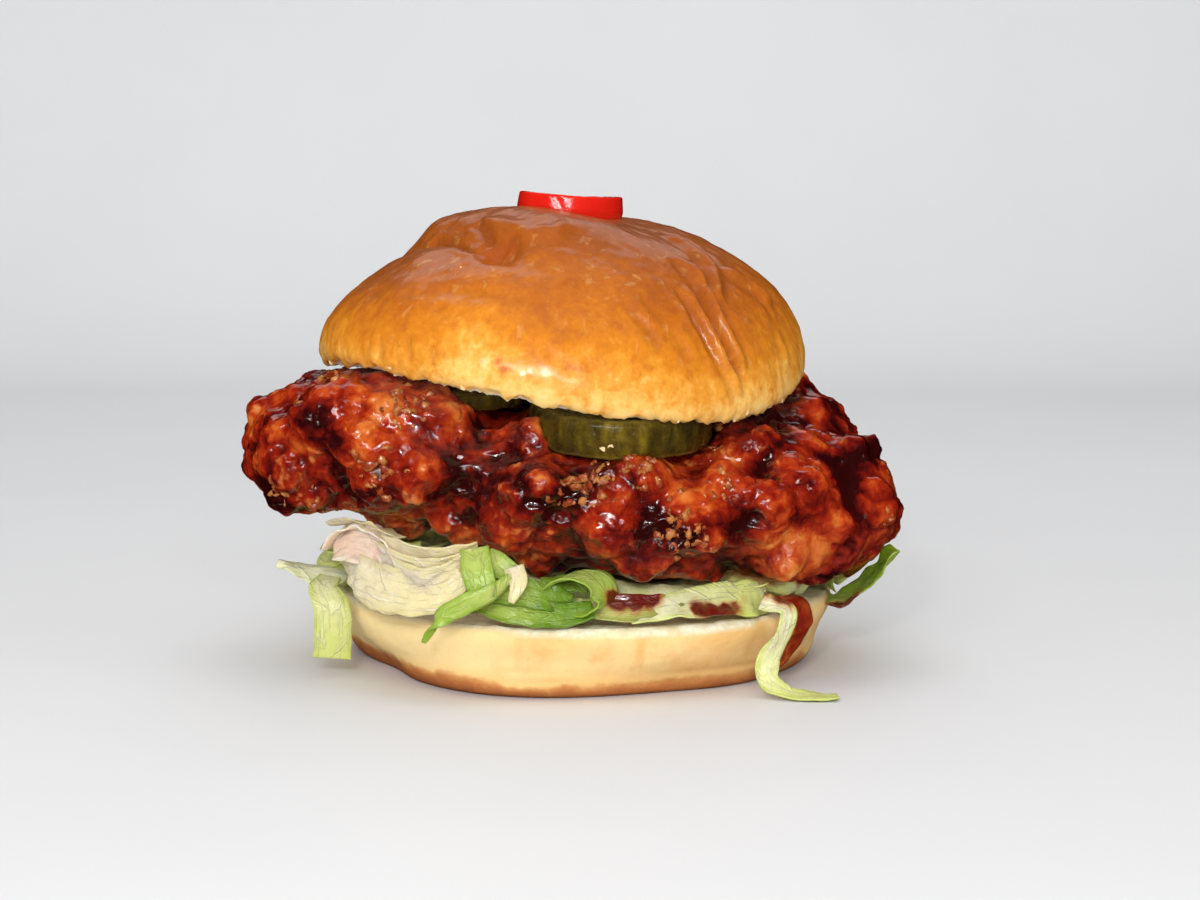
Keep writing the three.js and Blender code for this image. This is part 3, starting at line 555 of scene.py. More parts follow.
pale_leaf = leaf_finish("lettuce_pale", (226, 224, 182), (204, 212, 128),
                        (186, 202, 100), (232, 232, 196), (180, 178, 104))
cream_leaf = leaf_finish("lettuce_cream", (230, 220, 188), (218, 206, 158),
                         (208, 196, 140), (238, 232, 208), (198, 172, 136))
clear_leaf = leaf_finish("lettuce_clear", (232, 234, 206), (228, 232, 192),
                         (220, 228, 168), (240, 241, 216), (206, 212, 160))
olive_leaf = leaf_finish("lettuce_olive", (196, 196, 120), (156, 156, 72),
                         (132, 142, 52), (206, 206, 142), (120, 108, 44))
# The curl's pinkish tint is painted shade, the shade inside the curl.
blush_leaf = leaf_finish("lettuce_blush", (228, 198, 176), (232, 212, 188),
                         (236, 226, 200), (240, 228, 210), (206, 152, 130))
green_leaf = leaf_finish("lettuce_green", (164, 184, 84), (112, 146, 38),
                         (82, 118, 24), (164, 188, 92), (70, 100, 20))
spring_leaf = leaf_finish("lettuce_spring_green", (182, 198, 104), (150, 176, 66),
                          (122, 154, 42), (196, 208, 128), (112, 138, 46))


def join_sheets(sheets):
    """Several sheets as one mesh's points, faces and marks."""
    points, faces, base = [], [], 0
    for sheet in sheets:
        points.append(sheet[0])
        faces.append(sheet[1] + base)
        base += len(sheet[0])
    marks = {name: np.concatenate([sheet[2][name] for sheet in sheets]) for name in sheets[0][2]}
    return np.vstack(points), np.vstack(faces).tolist(), marks


filling = bpy.data.objects["fillet"].data
under = BVHTree.FromPolygons([v.co for v in filling.vertices],
                             [p.vertices[:] for p in filling.polygons])


def stained(points):
    """Where the sauce of the filling has run on the leaf: 1 by the filling, 0 from 4 mm off."""
    reach = 0.004
    gaps = [under.find_nearest(Vector(point), reach)[3] for point in points]
    return np.array([0.0 if gap is None else 1 - gap / reach for gap in gaps])


def near_spots(points, spots, reach):
    """1 at the spots, 0 from 2.2 times the reach."""
    spots = np.array(spots, float)
    gap = np.min([np.linalg.norm(points - spot, axis=1) for spot in spots], axis=0)
    return hump(gap, reach) * (gap < 2.2 * reach)


# Where glaze has dripped from the fillet and stands on a leaf, in mm.
POOLS = [(28.2, -52.6, 20.8), (31, -51.6, 20.2), (34, -50.4, 20.8), (37, -48.6, 21.8),
         (40, -46, 22.8), (61, -16.4, 14), (64.4, -15.6, 14.8), (46.4, -42, 20),
         (10.5, -54, 22.6), (14, -53.6, 22.8), (17.5, -52.8, 23)]


def leaf_piece(node, slot, material, *sheets, name=None):
    points, faces, marks = join_sheets(sheets)
    marks["stain"] = stained(points)
    marks["pool"] = near_spots(points * 1000, POOLS, 3.4)
    return seat(mesh_piece(name or node + "_piece", points, faces, material, marks), slot, node)


rng = np.random.default_rng(11)
BED_LOW = HEEL_HEIGHT + 0.4
ROUND_SHREDS, LOOSE_ENDS, OVER_SHREDS = 54, 26, 52


def over_heel(turn, radius, z):
    return (HEEL_X + radius * cos(turn), radius * sin(turn), z)


def room_over(x, y):
    """Height in mm up to which the heap can lie at a place: to the filling or its own crest."""
    hit = under.ray_cast(Vector((x, y, BED_LOW)) / 1000, (0, 0, 1))[0]
    crest = 29 - 3 * np.hypot(x - HEEL_X, y) / 45
    return min(hit.z * 1000 - 1.6, crest) if hit else crest


shreds = []
# Shreds that wander round under the filling, from the right side round the back to the left.
for i in range(ROUND_SHREDS):
    start = -0.35 + (pi + 0.75) * (i + rng.uniform(-0.5, 0.5)) / ROUND_SHREDS
    sweep = rng.uniform(0.28, 0.6) * rng.choice((-1, 1))
    bulge = rng.uniform(50, 57.5)
    low = BED_LOW + rng.uniform(0.9, 8.6)
    lean = rng.uniform(-0.6, 1.3)
    wide = rng.uniform(3.5, 7.5)
    outward = np.array([cos(start), sin(start), 0]) * lean + (0, 0, 1)
    marks_on_way = [(0, 38, 0), (0.35, bulge, rng.uniform(0, 2)),
                    (0.7, bulge + 1.5, rng.uniform(-1, 1)), (1, 42, rng.uniform(0, 2))]
    stations = [(*over_heel(start + k * sweep, r, low + dz), *outward, wide)
                for k, r, dz in marks_on_way]
    shreds.append(leaf(stations, 30, 7, 0.7, 0.5, 0.6, 100 + i))
# Loose ends that point outwards and droop over the heel's edge.
for i in range(LOOSE_ENDS):
    turn = -0.3 + (pi + 0.6) * (i + rng.uniform(-0.4, 0.4)) / LOOSE_ENDS
    sweep = rng.uniform(-0.3, 0.3)
    low = BED_LOW + rng.uniform(1.2, 6.0)
    wide = rng.uniform(3.5, 7.0)
    droop = 8 * rng.uniform(0, 1) ** 2
    reach = rng.uniform(57, 62)
    outward = (-sin(turn), cos(turn), rng.uniform(-0.6, 0.6))
    stations = [(*over_heel(turn, 40, low), *outward, wide),
                (*over_heel(turn + 0.5 * sweep, 53, low + 1.5), *outward, wide),
                (*over_heel(turn + sweep, reach, low - droop), *outward, 0.85 * wide)]
    shreds.append(leaf(stations, 26, 7, 0.7, 0.6, 0.6, 200 + i))
# Shreds that lie over the crest of the heap and come down to its edge.
for i in range(OVER_SHREDS):
    turn = -0.45 + (pi + 0.9) * (i + rng.uniform(-0.5, 0.5)) / OVER_SHREDS
    sweep = rng.uniform(-0.5, 0.5)
    wide = rng.uniform(3.5, 7.5)
    outward = (-sin(turn), cos(turn), rng.uniform(-0.5, 0.5))
    stations = []
    for share, radius in ((0, rng.uniform(22, 30)), (0.4, 37), (0.7, 45), (1, rng.uniform(50, 57))):
        x, y, z = over_heel(turn + share * sweep, radius, 0)
        low = room_over(x, y) - 1.2 if share < 0.8 else BED_LOW + rng.uniform(2, 7)
        stations.append((x, y, max(low + rng.uniform(-0.8, 0.5), BED_LOW + 1), *outward, wide))
    shreds.append(leaf(stations, 26, 7, 0.8, 0.6, 0.6, 300 + i))
# The pressed middle of the heap fills the room up to the filling's underside.
CORE_ROWS, CORE_COLUMNS = 60, 200
core_outline = [(0, 0), (40, 0), (45, 0.1), (46.4, 0.5), (45, 1), (34, 1), (0, 1)]
core = turned(resampled(core_outline, CORE_ROWS, 1.2), CORE_COLUMNS)
angle, radius = ground(core)
uneven = 0.05 * cloud(core * (0.4, 0.4, 3), 3.0, 2.2, 2) * smooth(radius, 20, 45)
core[:, :2] *= (1 + uneven)[:, None]
folds = 1.0 * cloud(core * (1, 1, 0), 6, 5.0, 2) + 0.8 * np.abs(cloud(core * (1, 1, 0), 3, 8.0))
for k, (x, y, z) in enumerate(core):
    room = max(room_over(x + HEEL_X, y) - BED_LOW + 0.5 * folds[k] - 1.0, 1.2)
    core[k, 2] = BED_LOW + z * room
core = (core + (HEEL_X, 0, 0)) / 1000
core_top = core[-CORE_COLUMNS:, 2].mean() * 1000
poles = np.array([[HEEL_X, 0, BED_LOW], [HEEL_X, 0, core_top]]) / 1000
core_faces = skin_faces(CORE_ROWS - 2, CORE_COLUMNS)
points, faces, marks = join_sheets(shreds)
start = len(points)
points = np.vstack([points, core, poles])
faces += [tuple(k + start for k in face) for face in core_faces]
marks = {name: np.r_[values, np.full(len(core) + 2, 0.3)] for name, values in marks.items()}
marks["stain"] = stained(points)
marks["pool"] = np.zeros(len(points))
seat(mesh_piece("lettuce_heap", points, faces, pale_leaf, marks), "lettuce_pale", "lettuce_bed")

leaf_piece("lettuce_cream_leaf", "lettuce_cream", cream_leaf, leaf([
    (-50.5, -27, 28.5, 0.1, 0.3, 1, 4), (-47.7, -36, 27, 0.1, 0.4, 1, 7),
    (-45, -42.5, 25, 0.1, 0.45, 1, 9), (-39.9, -49, 23.9, 0, 0.45, 1, 10),
    (-33.8, -53.5, 23.6, 0, 0.45, 1, 10), (-27.7, -55.7, 24.6, 0, 0.4, 1, 8.5),
    (-22.6, -56, 27.4, 0, 0.4, 1, 5)], 130, 22, 0.35, 0.35, 0.8, 3, 0.2), leaf([
    (-44, -38, 29.6, 0, 0.15, 1, 4), (-39.5, -46, 28.4, 0, 0.15, 1, 5),
    (-35.2, -51, 26.9, 0, 0.1, 1, 5.6), (-30.6, -54, 26.6, 0, 0.1, 1, 5.6),
    (-25.8, -54.6, 28, 0, 0.1, 1, 5),
    (-21.8, -53.6, 31, 0, 0.1, 1, 3.4)], 100, 14, 0.3, 0.35, 0.7, 4), leaf([
    (-42, -42, 31.4, 0, -0.15, 1, 3.4), (-37.5, -47.6, 29.8, 0, -0.15, 1, 4.6),
    (-31.5, -51.8, 28.9, 0, -0.2, 1, 4.6), (-25.4, -53, 29.8, 0, -0.2, 1, 4),
    (-20.6, -52, 32, 0, -0.1, 1, 3)], 90, 14, 0.35, 0.35, 0.7, 6), leaf([
    (-40.6, -43.6, 33.2, 0, -0.5, 1, 4), (-35.8, -47.6, 32, 0, -0.5, 1, 5),
    (-30, -50.8, 31.2, 0, -0.5, 1, 5), (-24.4, -52, 31.8, 0, -0.4, 1, 4.6),
    (-19.6, -51, 33.2, 0, -0.3, 1, 3)], 80, 14, 0.4, 0.4, 0.7, 5), leaf([
    (-53, -29, 34.6, 0.3, 1, -0.2, 4), (-47.4, -34, 36, 0.3, 1, -0.3, 6),
    (-42.2, -38, 35.6, 0.3, 1, -0.3, 6.5),
    (-37, -43, 34, 0.3, 0.9, 0, 4)], 70, 12, 0.4, 0.5, 0.6, 8))
leaf_piece("lettuce_cream_curl", "lettuce_cream", blush_leaf, leaf([
    (-52.4, -32, 29, 0.1, 0.3, 1, 4), (-48.6, -36, 31.6, 0.1, 0.3, 1, 8.5),
    (-44.3, -40, 31.9, 0.1, 0.35, 1, 9.5), (-40.8, -43.4, 30.4, 0.2, 0.4, 1, 8.5),
    (-38.8, -45.4, 28, 0.3, 0.4, 0.9, 5)], 100, 18, 0.5, 0.4, 0.7, 5), leaf([
    (-54, -31.4, 29.6, 0.4, 1, 0.1, 4), (-51.6, -33, 33, 0.4, 1, 0.1, 6),
    (-47, -36, 35.2, 0.3, 1, -0.1, 7), (-42.4, -39.6, 35, 0.3, 1, 0, 7),
    (-39, -42.8, 33, 0.4, 1, 0, 6.5),
    (-38, -44.6, 29.6, 0.4, 1, 0, 5)], 100, 16, 0.4, 0.45, 0.7, 15))
leaf_piece("lettuce_left_wing", "lettuce_pale", clear_leaf, leaf([
    (-50.5, -17, 20.6, 0.2, 1, 0.2, 9), (-58.5, -15, 21.6, 0, 1, 0.35, 9),
    (-67, -14, 23.4, -0.1, 1, 0.2, 3)], 60, 16, 0.7, 0.5, 0.6, 7))
leaf_piece("lettuce_left_strip", "lettuce_pale", pale_leaf, leaf([
    (-54.5, -20, 21.4, 0.9, 0.4, 0, 5), (-55.6, -25.4, 19.8, 1, 0.2, 0, 6.4),
    (-53.6, -28.4, 16.4, 1, 0.1, 0, 8.2), (-53.2, -29, 10, 1, 0.02, 0, 8.4),
    (-53.6, -29, 4.4, 1, 0, 0.03, 8.4)], 70, 16, 0.14, 0.06, 0.8, 9))
leaf_piece("lettuce_green_strip", "lettuce_green", spring_leaf, leaf([
    (-20.4, -52.4, 33.4, 1, 0, 0.1, 6), (-19.9, -56, 30.6, 1, 0, 0.1, 6.6),
    (-19, -58, 27.2, 1, 0, 0.15, 6.6),
    (-18, -58.6, 23.4, 1, 0, 0.25, 5.6)], 70, 14, 0.3, 0.15, 0.8, 13), leaf([
    (-12.6, -56, 27.4, 0.3, 0.1, 1, 2.4), (-16.9, -58.8, 24.6, 0.3, 0, 1, 4),
    (-22.2, -59.4, 22.4, 0.35, 0, 1, 4.4), (-27.5, -58.8, 19.2, 0.5, 0, 0.9, 3.8),
    (-31.2, -57, 13.8, 0.8, 0, 0.5, 1.2)], 90, 12, 0.25, 0.15, 0.7, 12), leaf([
    (-18, -51, 31.6, 0.5, 0.3, 0.8, 4), (-15, -52.4, 29.6, 0.5, 0.3, 0.8, 5),
    (-12.6, -53, 27.6, 0.7, 0.3, 0.6, 5),
    (-12.4, -52.6, 25, 0.9, 0.3, 0.2, 3)], 60, 12, 0.4, 0.3, 0.7, 14))
leaf_piece("lettuce_white_tip", "lettuce_cream", cream_leaf, leaf([
    (-12, -53.4, 29.4, 1, 0, 0.2, 4.4), (-11, -57, 26.4, 1, 0, 0.3, 3.8),
    (-12.4, -58.6, 22.6, 1, 0, 0.2, 1)], 40, 10, 0.3, 0.1, 1.0, 17))
leaf_piece("lettuce_green_fold", "lettuce_green", spring_leaf, leaf([
    (-4.9, -51.6, 24.6, 0.5, 0.8, 0.2, 6), (-1.6, -53.2, 26.8, 0.5, 0.8, 0.1, 8),
    (2.6, -54.2, 27.4, 0.55, 0.8, 0, 9), (6.6, -54.6, 25.6, 0.6, 0.75, 0.05, 9.5),
    (7.6, -54.8, 22.4, 0.6, 0.75, 0.1, 9), (4.8, -54.6, 20.2, 0.6, 0.75, 0.1, 8),
    (1.4, -53.8, 20.6, 0.6, 0.7, 0.2, 6)], 130, 18, 0.4, 0.25, 0.7, 19))
leaf_piece("lettuce_green_fold", "lettuce_green", green_leaf, leaf([
    (-20, -52, 21.6, 0, 0.6, 0.8, 3.6), (-14, -55, 20.6, 0, 0.55, 0.85, 6),
    (-7.4, -56, 19.8, 0, 0.5, 0.85, 6), (-1, -56, 19.6, 0, 0.5, 0.85, 5.6),
    (5, -55, 20.4, 0, 0.7, 0.7, 4.4)], 110, 16, 0.35, 0.35, 0.7, 20), leaf([
    (-17.6, -52.4, 24.4, 0.1, 0.5, 0.85, 4), (-13, -54.4, 24.4, 0.1, 0.5, 0.85, 6.5),
    (-7.6, -54.8, 23.8, 0.1, 0.5, 0.85, 6.5), (-3, -54.4, 22.6, 0.2, 0.5, 0.8, 6),
    (0.6, -53.4, 21.6, 0.2, 0.5, 0.8, 4)], 90, 14, 0.4, 0.4, 0.7, 21), leaf([
    (4, -50, 25, 0, 0.8, 0.5, 5), (-1, -50, 25.4, 0, 0.9, 0.4, 6),
    (-6, -51, 25.6, 0, 0.9, 0.4, 5)], 60, 12, 0.4, 0.4, 0.7, 24), name="lettuce_fold_sheets")
leaf_piece("lettuce_pale_wedge", "lettuce_pale", olive_leaf, leaf([
    (1, -51.6, 20.4, 0, 0.7, 0.7, 4), (7, -53.6, 20.6, 0, 0.6, 0.8, 6),
    (13, -53.8, 20.6, 0, 0.6, 0.8, 6.6), (19.4, -52.4, 21, 0, 0.6, 0.8, 5),
    (24, -50.6, 21.6, 0, 0.7, 0.7, 3)], 70, 14, 0.5, 0.4, 0.7, 25), name="lettuce_olive_bit")
leaf_piece("lettuce_pale_wedge", "lettuce_pale", pale_leaf, leaf([
    (13, -55.4, 18.5, 0.2, 0.6, 0.8, 2.5), (21, -53, 20.4, 0, 0.75, 0.65, 6.5),
    (29.5, -49, 21.4, 0, 0.75, 0.65, 8.5), (37, -44.5, 20.8, 0.2, 0.8, 0.6, 8.5),
    (43, -38.5, 19.6, 0.5, 0.8, 0.3, 6)], 90, 18, 0.6, 0.4, 0.8, 23))
leaf_piece("lettuce_ribbon", "lettuce_pale", pale_leaf, leaf([
    (41.5, -44.5, 20.4, 0.7, 0.2, 0.7, 4), (47, -45.4, 18.4, 1, 0.3, -0.2, 4.2),
    (46, -46.4, 13, 1, 0.7, 0, 4.2), (43, -47.4, 8.2, 1, 0.2, 0.2, 5),
    (43, -49.4, 3.8, 1, 0.2, 0.5, 4.6), (47.4, -51.6, 1.4, 0.2, 1, 0.4, 4),
    (52.5, -52.2, 0.95, 0, 1, 0.08, 4.6),
    (57.8, -51.8, 0.95, 0, 1, 0.05, 4)], 150, 12, 0.25, 0.25, 0.7, 31))
leaf_piece("lettuce_right_leaf", "lettuce_green", spring_leaf, leaf([
    (57.5, -13, 14.4, 0.1, 1, 0.1, 8), (63, -12, 14.6, 0.1, 1, 0.2, 10),
    (68, -11, 19, 0.1, 1, 0.3, 11), (74.5, -10, 26, 0.1, 1, 0.35, 7)], 80, 18, 0.9, 0.6, 0.7, 37))

# The fried fillet
# A chicken fillet in a thick crackled batter, tossed in a dark sticky red glaze: round lumps of
# batter stand out, the glaze runs thick and dark in the cracks between them, partly as painted
# shade, and small golden crumbs stick to it.


def copy_of(node, name):
    """A node's skin as a new piece, its corners merged."""
    mesh = bpy.data.objects[node].data.copy()
    mesh.materials.clear()
    piece = in_scene(name, mesh)
    weld = piece.modifiers.new("weld", "WELD")
    weld.merge_threshold = 0.00002
    return piece


def settled(piece):
    """Turns the piece into the plain mesh that its modifiers give."""
    bpy.context.view_layer.update()
    shaped = bpy.data.meshes.new_from_object(
        piece.evaluated_get(bpy.context.evaluated_depsgraph_get()))
    piece.modifiers.clear()
    piece.data = shaped
    return piece


def shaping_tree(title, amounts):
    """A tree that takes a mesh and gives one, with named amounts that are set on its modifier."""
    tree = bpy.data.node_groups.new(title, "GeometryNodeTree")
    tree.interface.new_socket("Mesh", in_out="INPUT", socket_type="NodeSocketGeometry")
    for name, amount in amounts.items():
        tree.interface.new_socket(name, in_out="INPUT",
                                  socket_type="NodeSocketFloat").default_value = amount
    tree.interface.new_socket("Finish", in_out="INPUT", socket_type="NodeSocketMaterial")
    tree.interface.new_socket("Mesh", in_out="OUTPUT", socket_type="NodeSocketGeometry")
    bench = Bench(tree)
    bench.given = tree.nodes.new("NodeGroupInput")
    return bench


def asked(bench, title):
    return Wire(bench, bench.given.outputs[title])


def answered(bench, mesh):
    """Ends a tree: all of it plain mesh, with its finish on."""
    mesh = bench.node("GeometryNodeRealizeInstances", {}, {"Geometry": mesh})
    mesh = bench.node("GeometryNodeSetMaterial", {},
                      {"Geometry": mesh, "Material": asked(bench, "Finish")})
    bench.tree.links.new(mesh.socket, bench.tree.nodes.new("NodeGroupOutput").inputs[0])
    return bench.tree


def give(piece, tree, finish, amounts):
    """Runs a shaping tree on the piece, its inputs set by their identifiers."""
    work = piece.modifiers.new("shaping", "NODES")
    work.node_group = tree
    for socket in tree.interface.items_tree:
        if socket.in_out == "INPUT" and socket.name in amounts:
            work[socket.identifier] = amounts[socket.name]
        if socket.in_out == "INPUT" and socket.name == "Finish":
            work[socket.identifier] = finish
    return settled(piece)


def drifted(bench, size, by, seed, spot):
    """The spot, shifted by a slow noise so that what is laid on it loses its even cells."""
    drift = bench.node("ShaderNodeTexNoise", {"noise_dimensions": "4D"},
                       {"Vector": spot, "Scale": 1 / size, "W": seed, "Detail": 3.0}, "Color")
    drift = bench.node("ShaderNodeVectorMath", {"operation": "SUBTRACT"},
                       {0: drift, 1: (0.5, 0.5, 0.5)})
    return bench.node("ShaderNodeVectorMath", {"operation": "ADD"},
                      {0: spot, 1: bench.scaled(drift, by)})


coat = shaping_tree("crackled_batter", {
    "Lump width": 0.0098, "Lump rise": 0.0020, "Flake width": 0.0044, "Flake rise": 0.0015,
    "Grit width": 0.0018, "Grit rise": 0.0005, "Ripple rise": 0.0007})


def domes(width, seed, at, measure="EUCLIDEAN"):
    """Rounded lumps of a named width, 1 at their middles, that meet in sharp cracks."""
    near = coat.cells(asked(coat, width), seed, at, measure)
    return 1 - near * near * 1.8


def patches(size, seed, detail=2.0):
    """Noise over the fillet: slow for where its crags are strong, fine for ripples."""
    return coat.grain(size, detail, seed, spot, 0.5)


spot = coat.node("GeometryNodeInputPosition")
lumps = domes("Lump width", 1.0, drifted(coat, 0.009, 0.010, 4.0, spot))
flakes = domes("Flake width", 2.0, drifted(coat, 0.004, 0.005, 7.0, spot), "CHEBYCHEV")
grit = domes("Grit width", 3.0, spot)
lumpy = coat.rise(patches(0.021, 11.0), 0.36, 0.55, 0.35, 1.0)
flaky = coat.rise(patches(0.015, 5.0), 0.38, 0.54)
gritty_zone = coat.rise(patches(0.013, 9.0), 0.46, 0.58)
ripple = patches(0.0036, 6.0, 4.0) - 0.5
height = ((lumps - 0.45) * lumpy * asked(coat, "Lump rise")
          + (flakes - 0.5) * flaky * asked(coat, "Flake rise")
          + (grit - 0.5) * gritty_zone * asked(coat, "Grit rise")
          + ripple * asked(coat, "Ripple rise"))
push = coat.scaled(coat.node("GeometryNodeInputNormal"), height)
moved = coat.node("GeometryNodeSetPosition", {}, {"Geometry": asked(coat, "Mesh"), "Offset": push})
for title, value in (("lumps", lumps), ("flakes", flakes * flaky), ("grit", grit * gritty_zone),
                     ("rise", height * 1000)):
    moved = coat.node("GeometryNodeStoreNamedAttribute", {"data_type": "FLOAT", "domain": "POINT"},
                      {"Geometry": moved, "Name": title, "Value": value})
answered(coat, moved)

sauce_finish = new_finish("glazed_coat")
lump, flake = sauce_finish.mark("lumps"), sauce_finish.mark("flakes")
gritty, risen = sauce_finish.mark("grit"), sauce_finish.mark("rise")
thin = sauce_finish.grain(0.017, 4, 3.0, warp=0.8)
streak = sauce_finish.grain(0.0045, 5, 8.0, warp=1.2)
fine = sauce_finish.grain(0.0012, 4, 5.0)
# Low along the underside the glaze is painted lighter, as painted light, and it is rougher with
# less coat. Towards the right end it is painted darker, as painted shade.
drained = sauce_finish.rise(sauce_finish.axis("Z"), 0.040, 0.030)
shaded = sauce_finish.rise(sauce_finish.axis("X"), 0.035, 0.066) * 0.14 - drained * 0.13
# How pale the glaze is: thin on the lumps and thick in the cracks, whose darkness is partly painted
# shade, plus the painted light and shade above.
bare = (risen * 0.24 + (lump - 0.5) * 0.24 + (thin - 0.5) * 1.6 + (streak - 0.5) * 1.3
        + (fine - 0.5) * 0.3 + 0.445 - shaded)
glaze_colour = sauce_finish.ramp(
    bare, (0.0, 44, 6, 6), (0.18, 80, 11, 8), (0.36, 118, 22, 9), (0.54, 146, 36, 12),
    (0.74, 174, 64, 20), (1.0, 200, 106, 42))
golden = sauce_finish.rise(gritty * 0.5 + flake * 0.45 + (streak - 0.5) * 1.5, 0.46, 0.85)
golden = golden * sauce_finish.rise(bare, 0.3, 0.7)
glaze_colour = sauce_finish.blend(golden * 0.5, glaze_colour, (206, 138, 68))
rough_zone = sauce_finish.rise(sauce_finish.grain(0.01, 3, 12.0), 0.44, 0.58, 0.12, 1.0)
set_finish(sauce_finish, {
    "Base Color": glaze_colour,
    "Roughness": sauce_finish.rise(golden, 0.0, 1.0, 0.16, 0.42) + drained * 0.16,
    "Coat Weight": 0.75 - golden * 0.4 - drained * 0.4, "Coat Roughness": 0.03,
    "Specular IOR Level": 0.3,
    **soft_light(0.14, (1.0, 0.22, 0.06), 0.003),
    "Normal": sauce_finish.bump(
        (streak * 0.6 + fine * 0.5 + sauce_finish.cells(0.0019, 2.0) * 0.35) * rough_zone, 0.0007),
})

fillet = copy_of("fillet", "fried_fillet")
remesh = fillet.modifiers.new("even", "REMESH")
remesh.mode = "VOXEL"
remesh.voxel_size = 0.0007
soften = fillet.modifiers.new("soften", "SMOOTH")
soften.factor = 0.5
soften.iterations = 7
settled(fillet)
give(fillet, coat.tree, sauce_finish.material, {})
fillet.data.shade_smooth()
seat(fillet, "glazed_coat", "fillet")

# The batter crumbs
# Small golden crumbs of fried batter that came loose and stuck to the glaze, in clusters.

crumbs = shaping_tree("strewn_crumbs", {"Density": 1.0, "Smallest": 0.0003, "Largest": 0.0007,
                                        "Seed": 1.0, "Unevenness": 2.2})
# How far a crumb's middle stands off the skin, as a share of the largest crumb's radius.
SUNK_SHARE = -0.35
thick_spots = crumbs.node("GeometryNodeInputNamedAttribute", {"data_type": "FLOAT"},
                          {"Name": "crumby"}, "Attribute")
strewn = crumbs.node("GeometryNodeDistributePointsOnFaces", {}, {
    "Mesh": asked(crumbs, "Mesh"), "Density": thick_spots * asked(crumbs, "Density"),
    "Seed": asked(crumbs, "Seed")}, "Points")
way_out = Wire(crumbs, strewn.socket.node.outputs["Normal"])
small, large = asked(crumbs, "Smallest"), asked(crumbs, "Largest")
sink = crumbs.scaled(way_out, large * SUNK_SHARE)
strewn = crumbs.node("GeometryNodeSetPosition", {}, {"Geometry": strewn, "Offset": sink})
bit = crumbs.node("GeometryNodeMeshUVSphere", {}, {"Radius": 1.0, "Segments": 8, "Rings": 6})
sizes = [crumbs.point(size, size, size) for size in (small, large)]
scale, spin = (crumbs.node("FunctionNodeRandomValue", {"data_type": "FLOAT_VECTOR"},
                           {0: least, 1: most, 8: seed})
               for least, most, seed in ((*sizes, 3), ((0.0,) * 3, (tau,) * 3, 5)))
laid = crumbs.node("GeometryNodeInstanceOnPoints", {}, {
    "Points": strewn, "Instance": bit, "Rotation": spin, "Scale": scale})
laid = crumbs.node("GeometryNodeRealizeInstances", {}, {"Geometry": laid})
here = crumbs.node("GeometryNodeInputPosition")
knock = drifted(crumbs, 0.0011, asked(crumbs, "Unevenness") * large, 3.0, here)
laid = crumbs.node("GeometryNodeSetPosition", {}, {"Geometry": laid, "Position": knock})
answered(crumbs, crumbs.node("GeometryNodeSetShadeSmooth", {}, {"Geometry": laid}))


def strew(name, host, crumby, slot, finish, amounts):
    """Crumbs on a host piece, thickest where crumby is 1."""
    bed = host.data.copy()
    carry(bed, {"crumby": crumby})
    return seat(give(in_scene(name, bed), crumbs.tree, finish, amounts), slot)


def places(piece):
    """The piece's points in millimetres."""
    flat = np.empty(len(piece.data.vertices) * 3)
    piece.data.vertices.foreach_get("co", flat)
    return flat.reshape(-1, 3) * 1000


golden_finish = new_finish("golden_crumb")
toast = golden_finish.grain(0.0016, 3, 2.0)
glazed = golden_finish.grain(0.0025, 3, 4.0)
set_finish(golden_finish, {
    "Base Color": golden_finish.blend(golden_finish.rise(glazed, 0.42, 0.56, 0.15, 1.0),
                                      golden_finish.blend(toast, (158, 88, 36),
                                                          (214, 150, 80)), (142, 52, 16)),
    "Roughness": toast * 0.3 + 0.2, "Coat Weight": 0.6, "Coat Roughness": 0.05,
    "Normal": golden_finish.bump(toast, 0.0004),
})
batter_points = places(fillet)
golden_spots = [(1.1, -54.4, 46.2), (6.4, -51.8, 49), (23.5, -55, 39.8), (25.6, -56, 34.6),
                (15, -51.3, 50), (-42.2, -43.8, 49), (-36.4, -40.9, 62.8), (33, -50, 49)]
elsewhere = smooth(cloud(batter_points, 17, 4.0), 0.22, 0.5) * (batter_points[:, 1] > -35)
crumby = np.maximum(near_spots(batter_points, golden_spots, 3.6), 0.16 * elsewhere)
strew("batter_crumbs", fillet, crumby, "glazed_coat", golden_finish.material,
      {"Density": 460000.0, "Smallest": 0.0005, "Largest": 0.0015, "Seed": 4.0})

# The sauce
# The dark red glaze that ran off the fillet: a thick wet run that has set on the right front of
# the heel's flank, partly behind the hanging ribbon of lettuce.

RUN_TURN = radians(-35)
outwards, sideways = (cos(RUN_TURN), sin(RUN_TURN), 0), (-sin(RUN_TURN), cos(RUN_TURN), 0)
# Height, reach from the heel's middle, width and thickness down the run, in mm.
down_heel = np.array([(19.6, 54.4, 7, 1.4), (16.6, 57.4, 12, 2.8), (12.6, 58.0, 13, 2.4),
                      (8.6, 55.9, 12, 2.3), (5.2, 54.2, 9, 2.2), (2.6, 53.3, 4.4, 1.6)])
rows, lanes = 80, 24
share = np.linspace(0, 1, rows)
spine = track((HEEL_X, 0, 0) + down_heel[:, 1:2] * outwards + down_heel[:, :1] * (0, 0, 1), share)
sizes = track(down_heel[:, 2:], share).clip(0.1)
sizes = sizes * (np.sqrt(1 - (2 * share - 1) ** 8) + 0.02)[:, None]
run = unit(np.gradient(spine, axis=0))
face = unit(np.cross(run, sideways))
side = unit(np.cross(face, run))
turns = np.linspace(0, tau, lanes, endpoint=False)
rings = (spine[:, None] + np.cos(turns)[:, None] * side[:, None] * sizes[:, 0, None, None] / 2
         + np.sin(turns)[:, None] * face[:, None] * sizes[:, 1, None, None] / 2)
wet_skin = rings.reshape(-1, 3)
out = unit(wet_skin - np.repeat(spine, lanes, axis=0))
wet_skin = wet_skin + out * 0.5 * cloud(wet_skin, 2.8, 1.0, 2)[:, None]
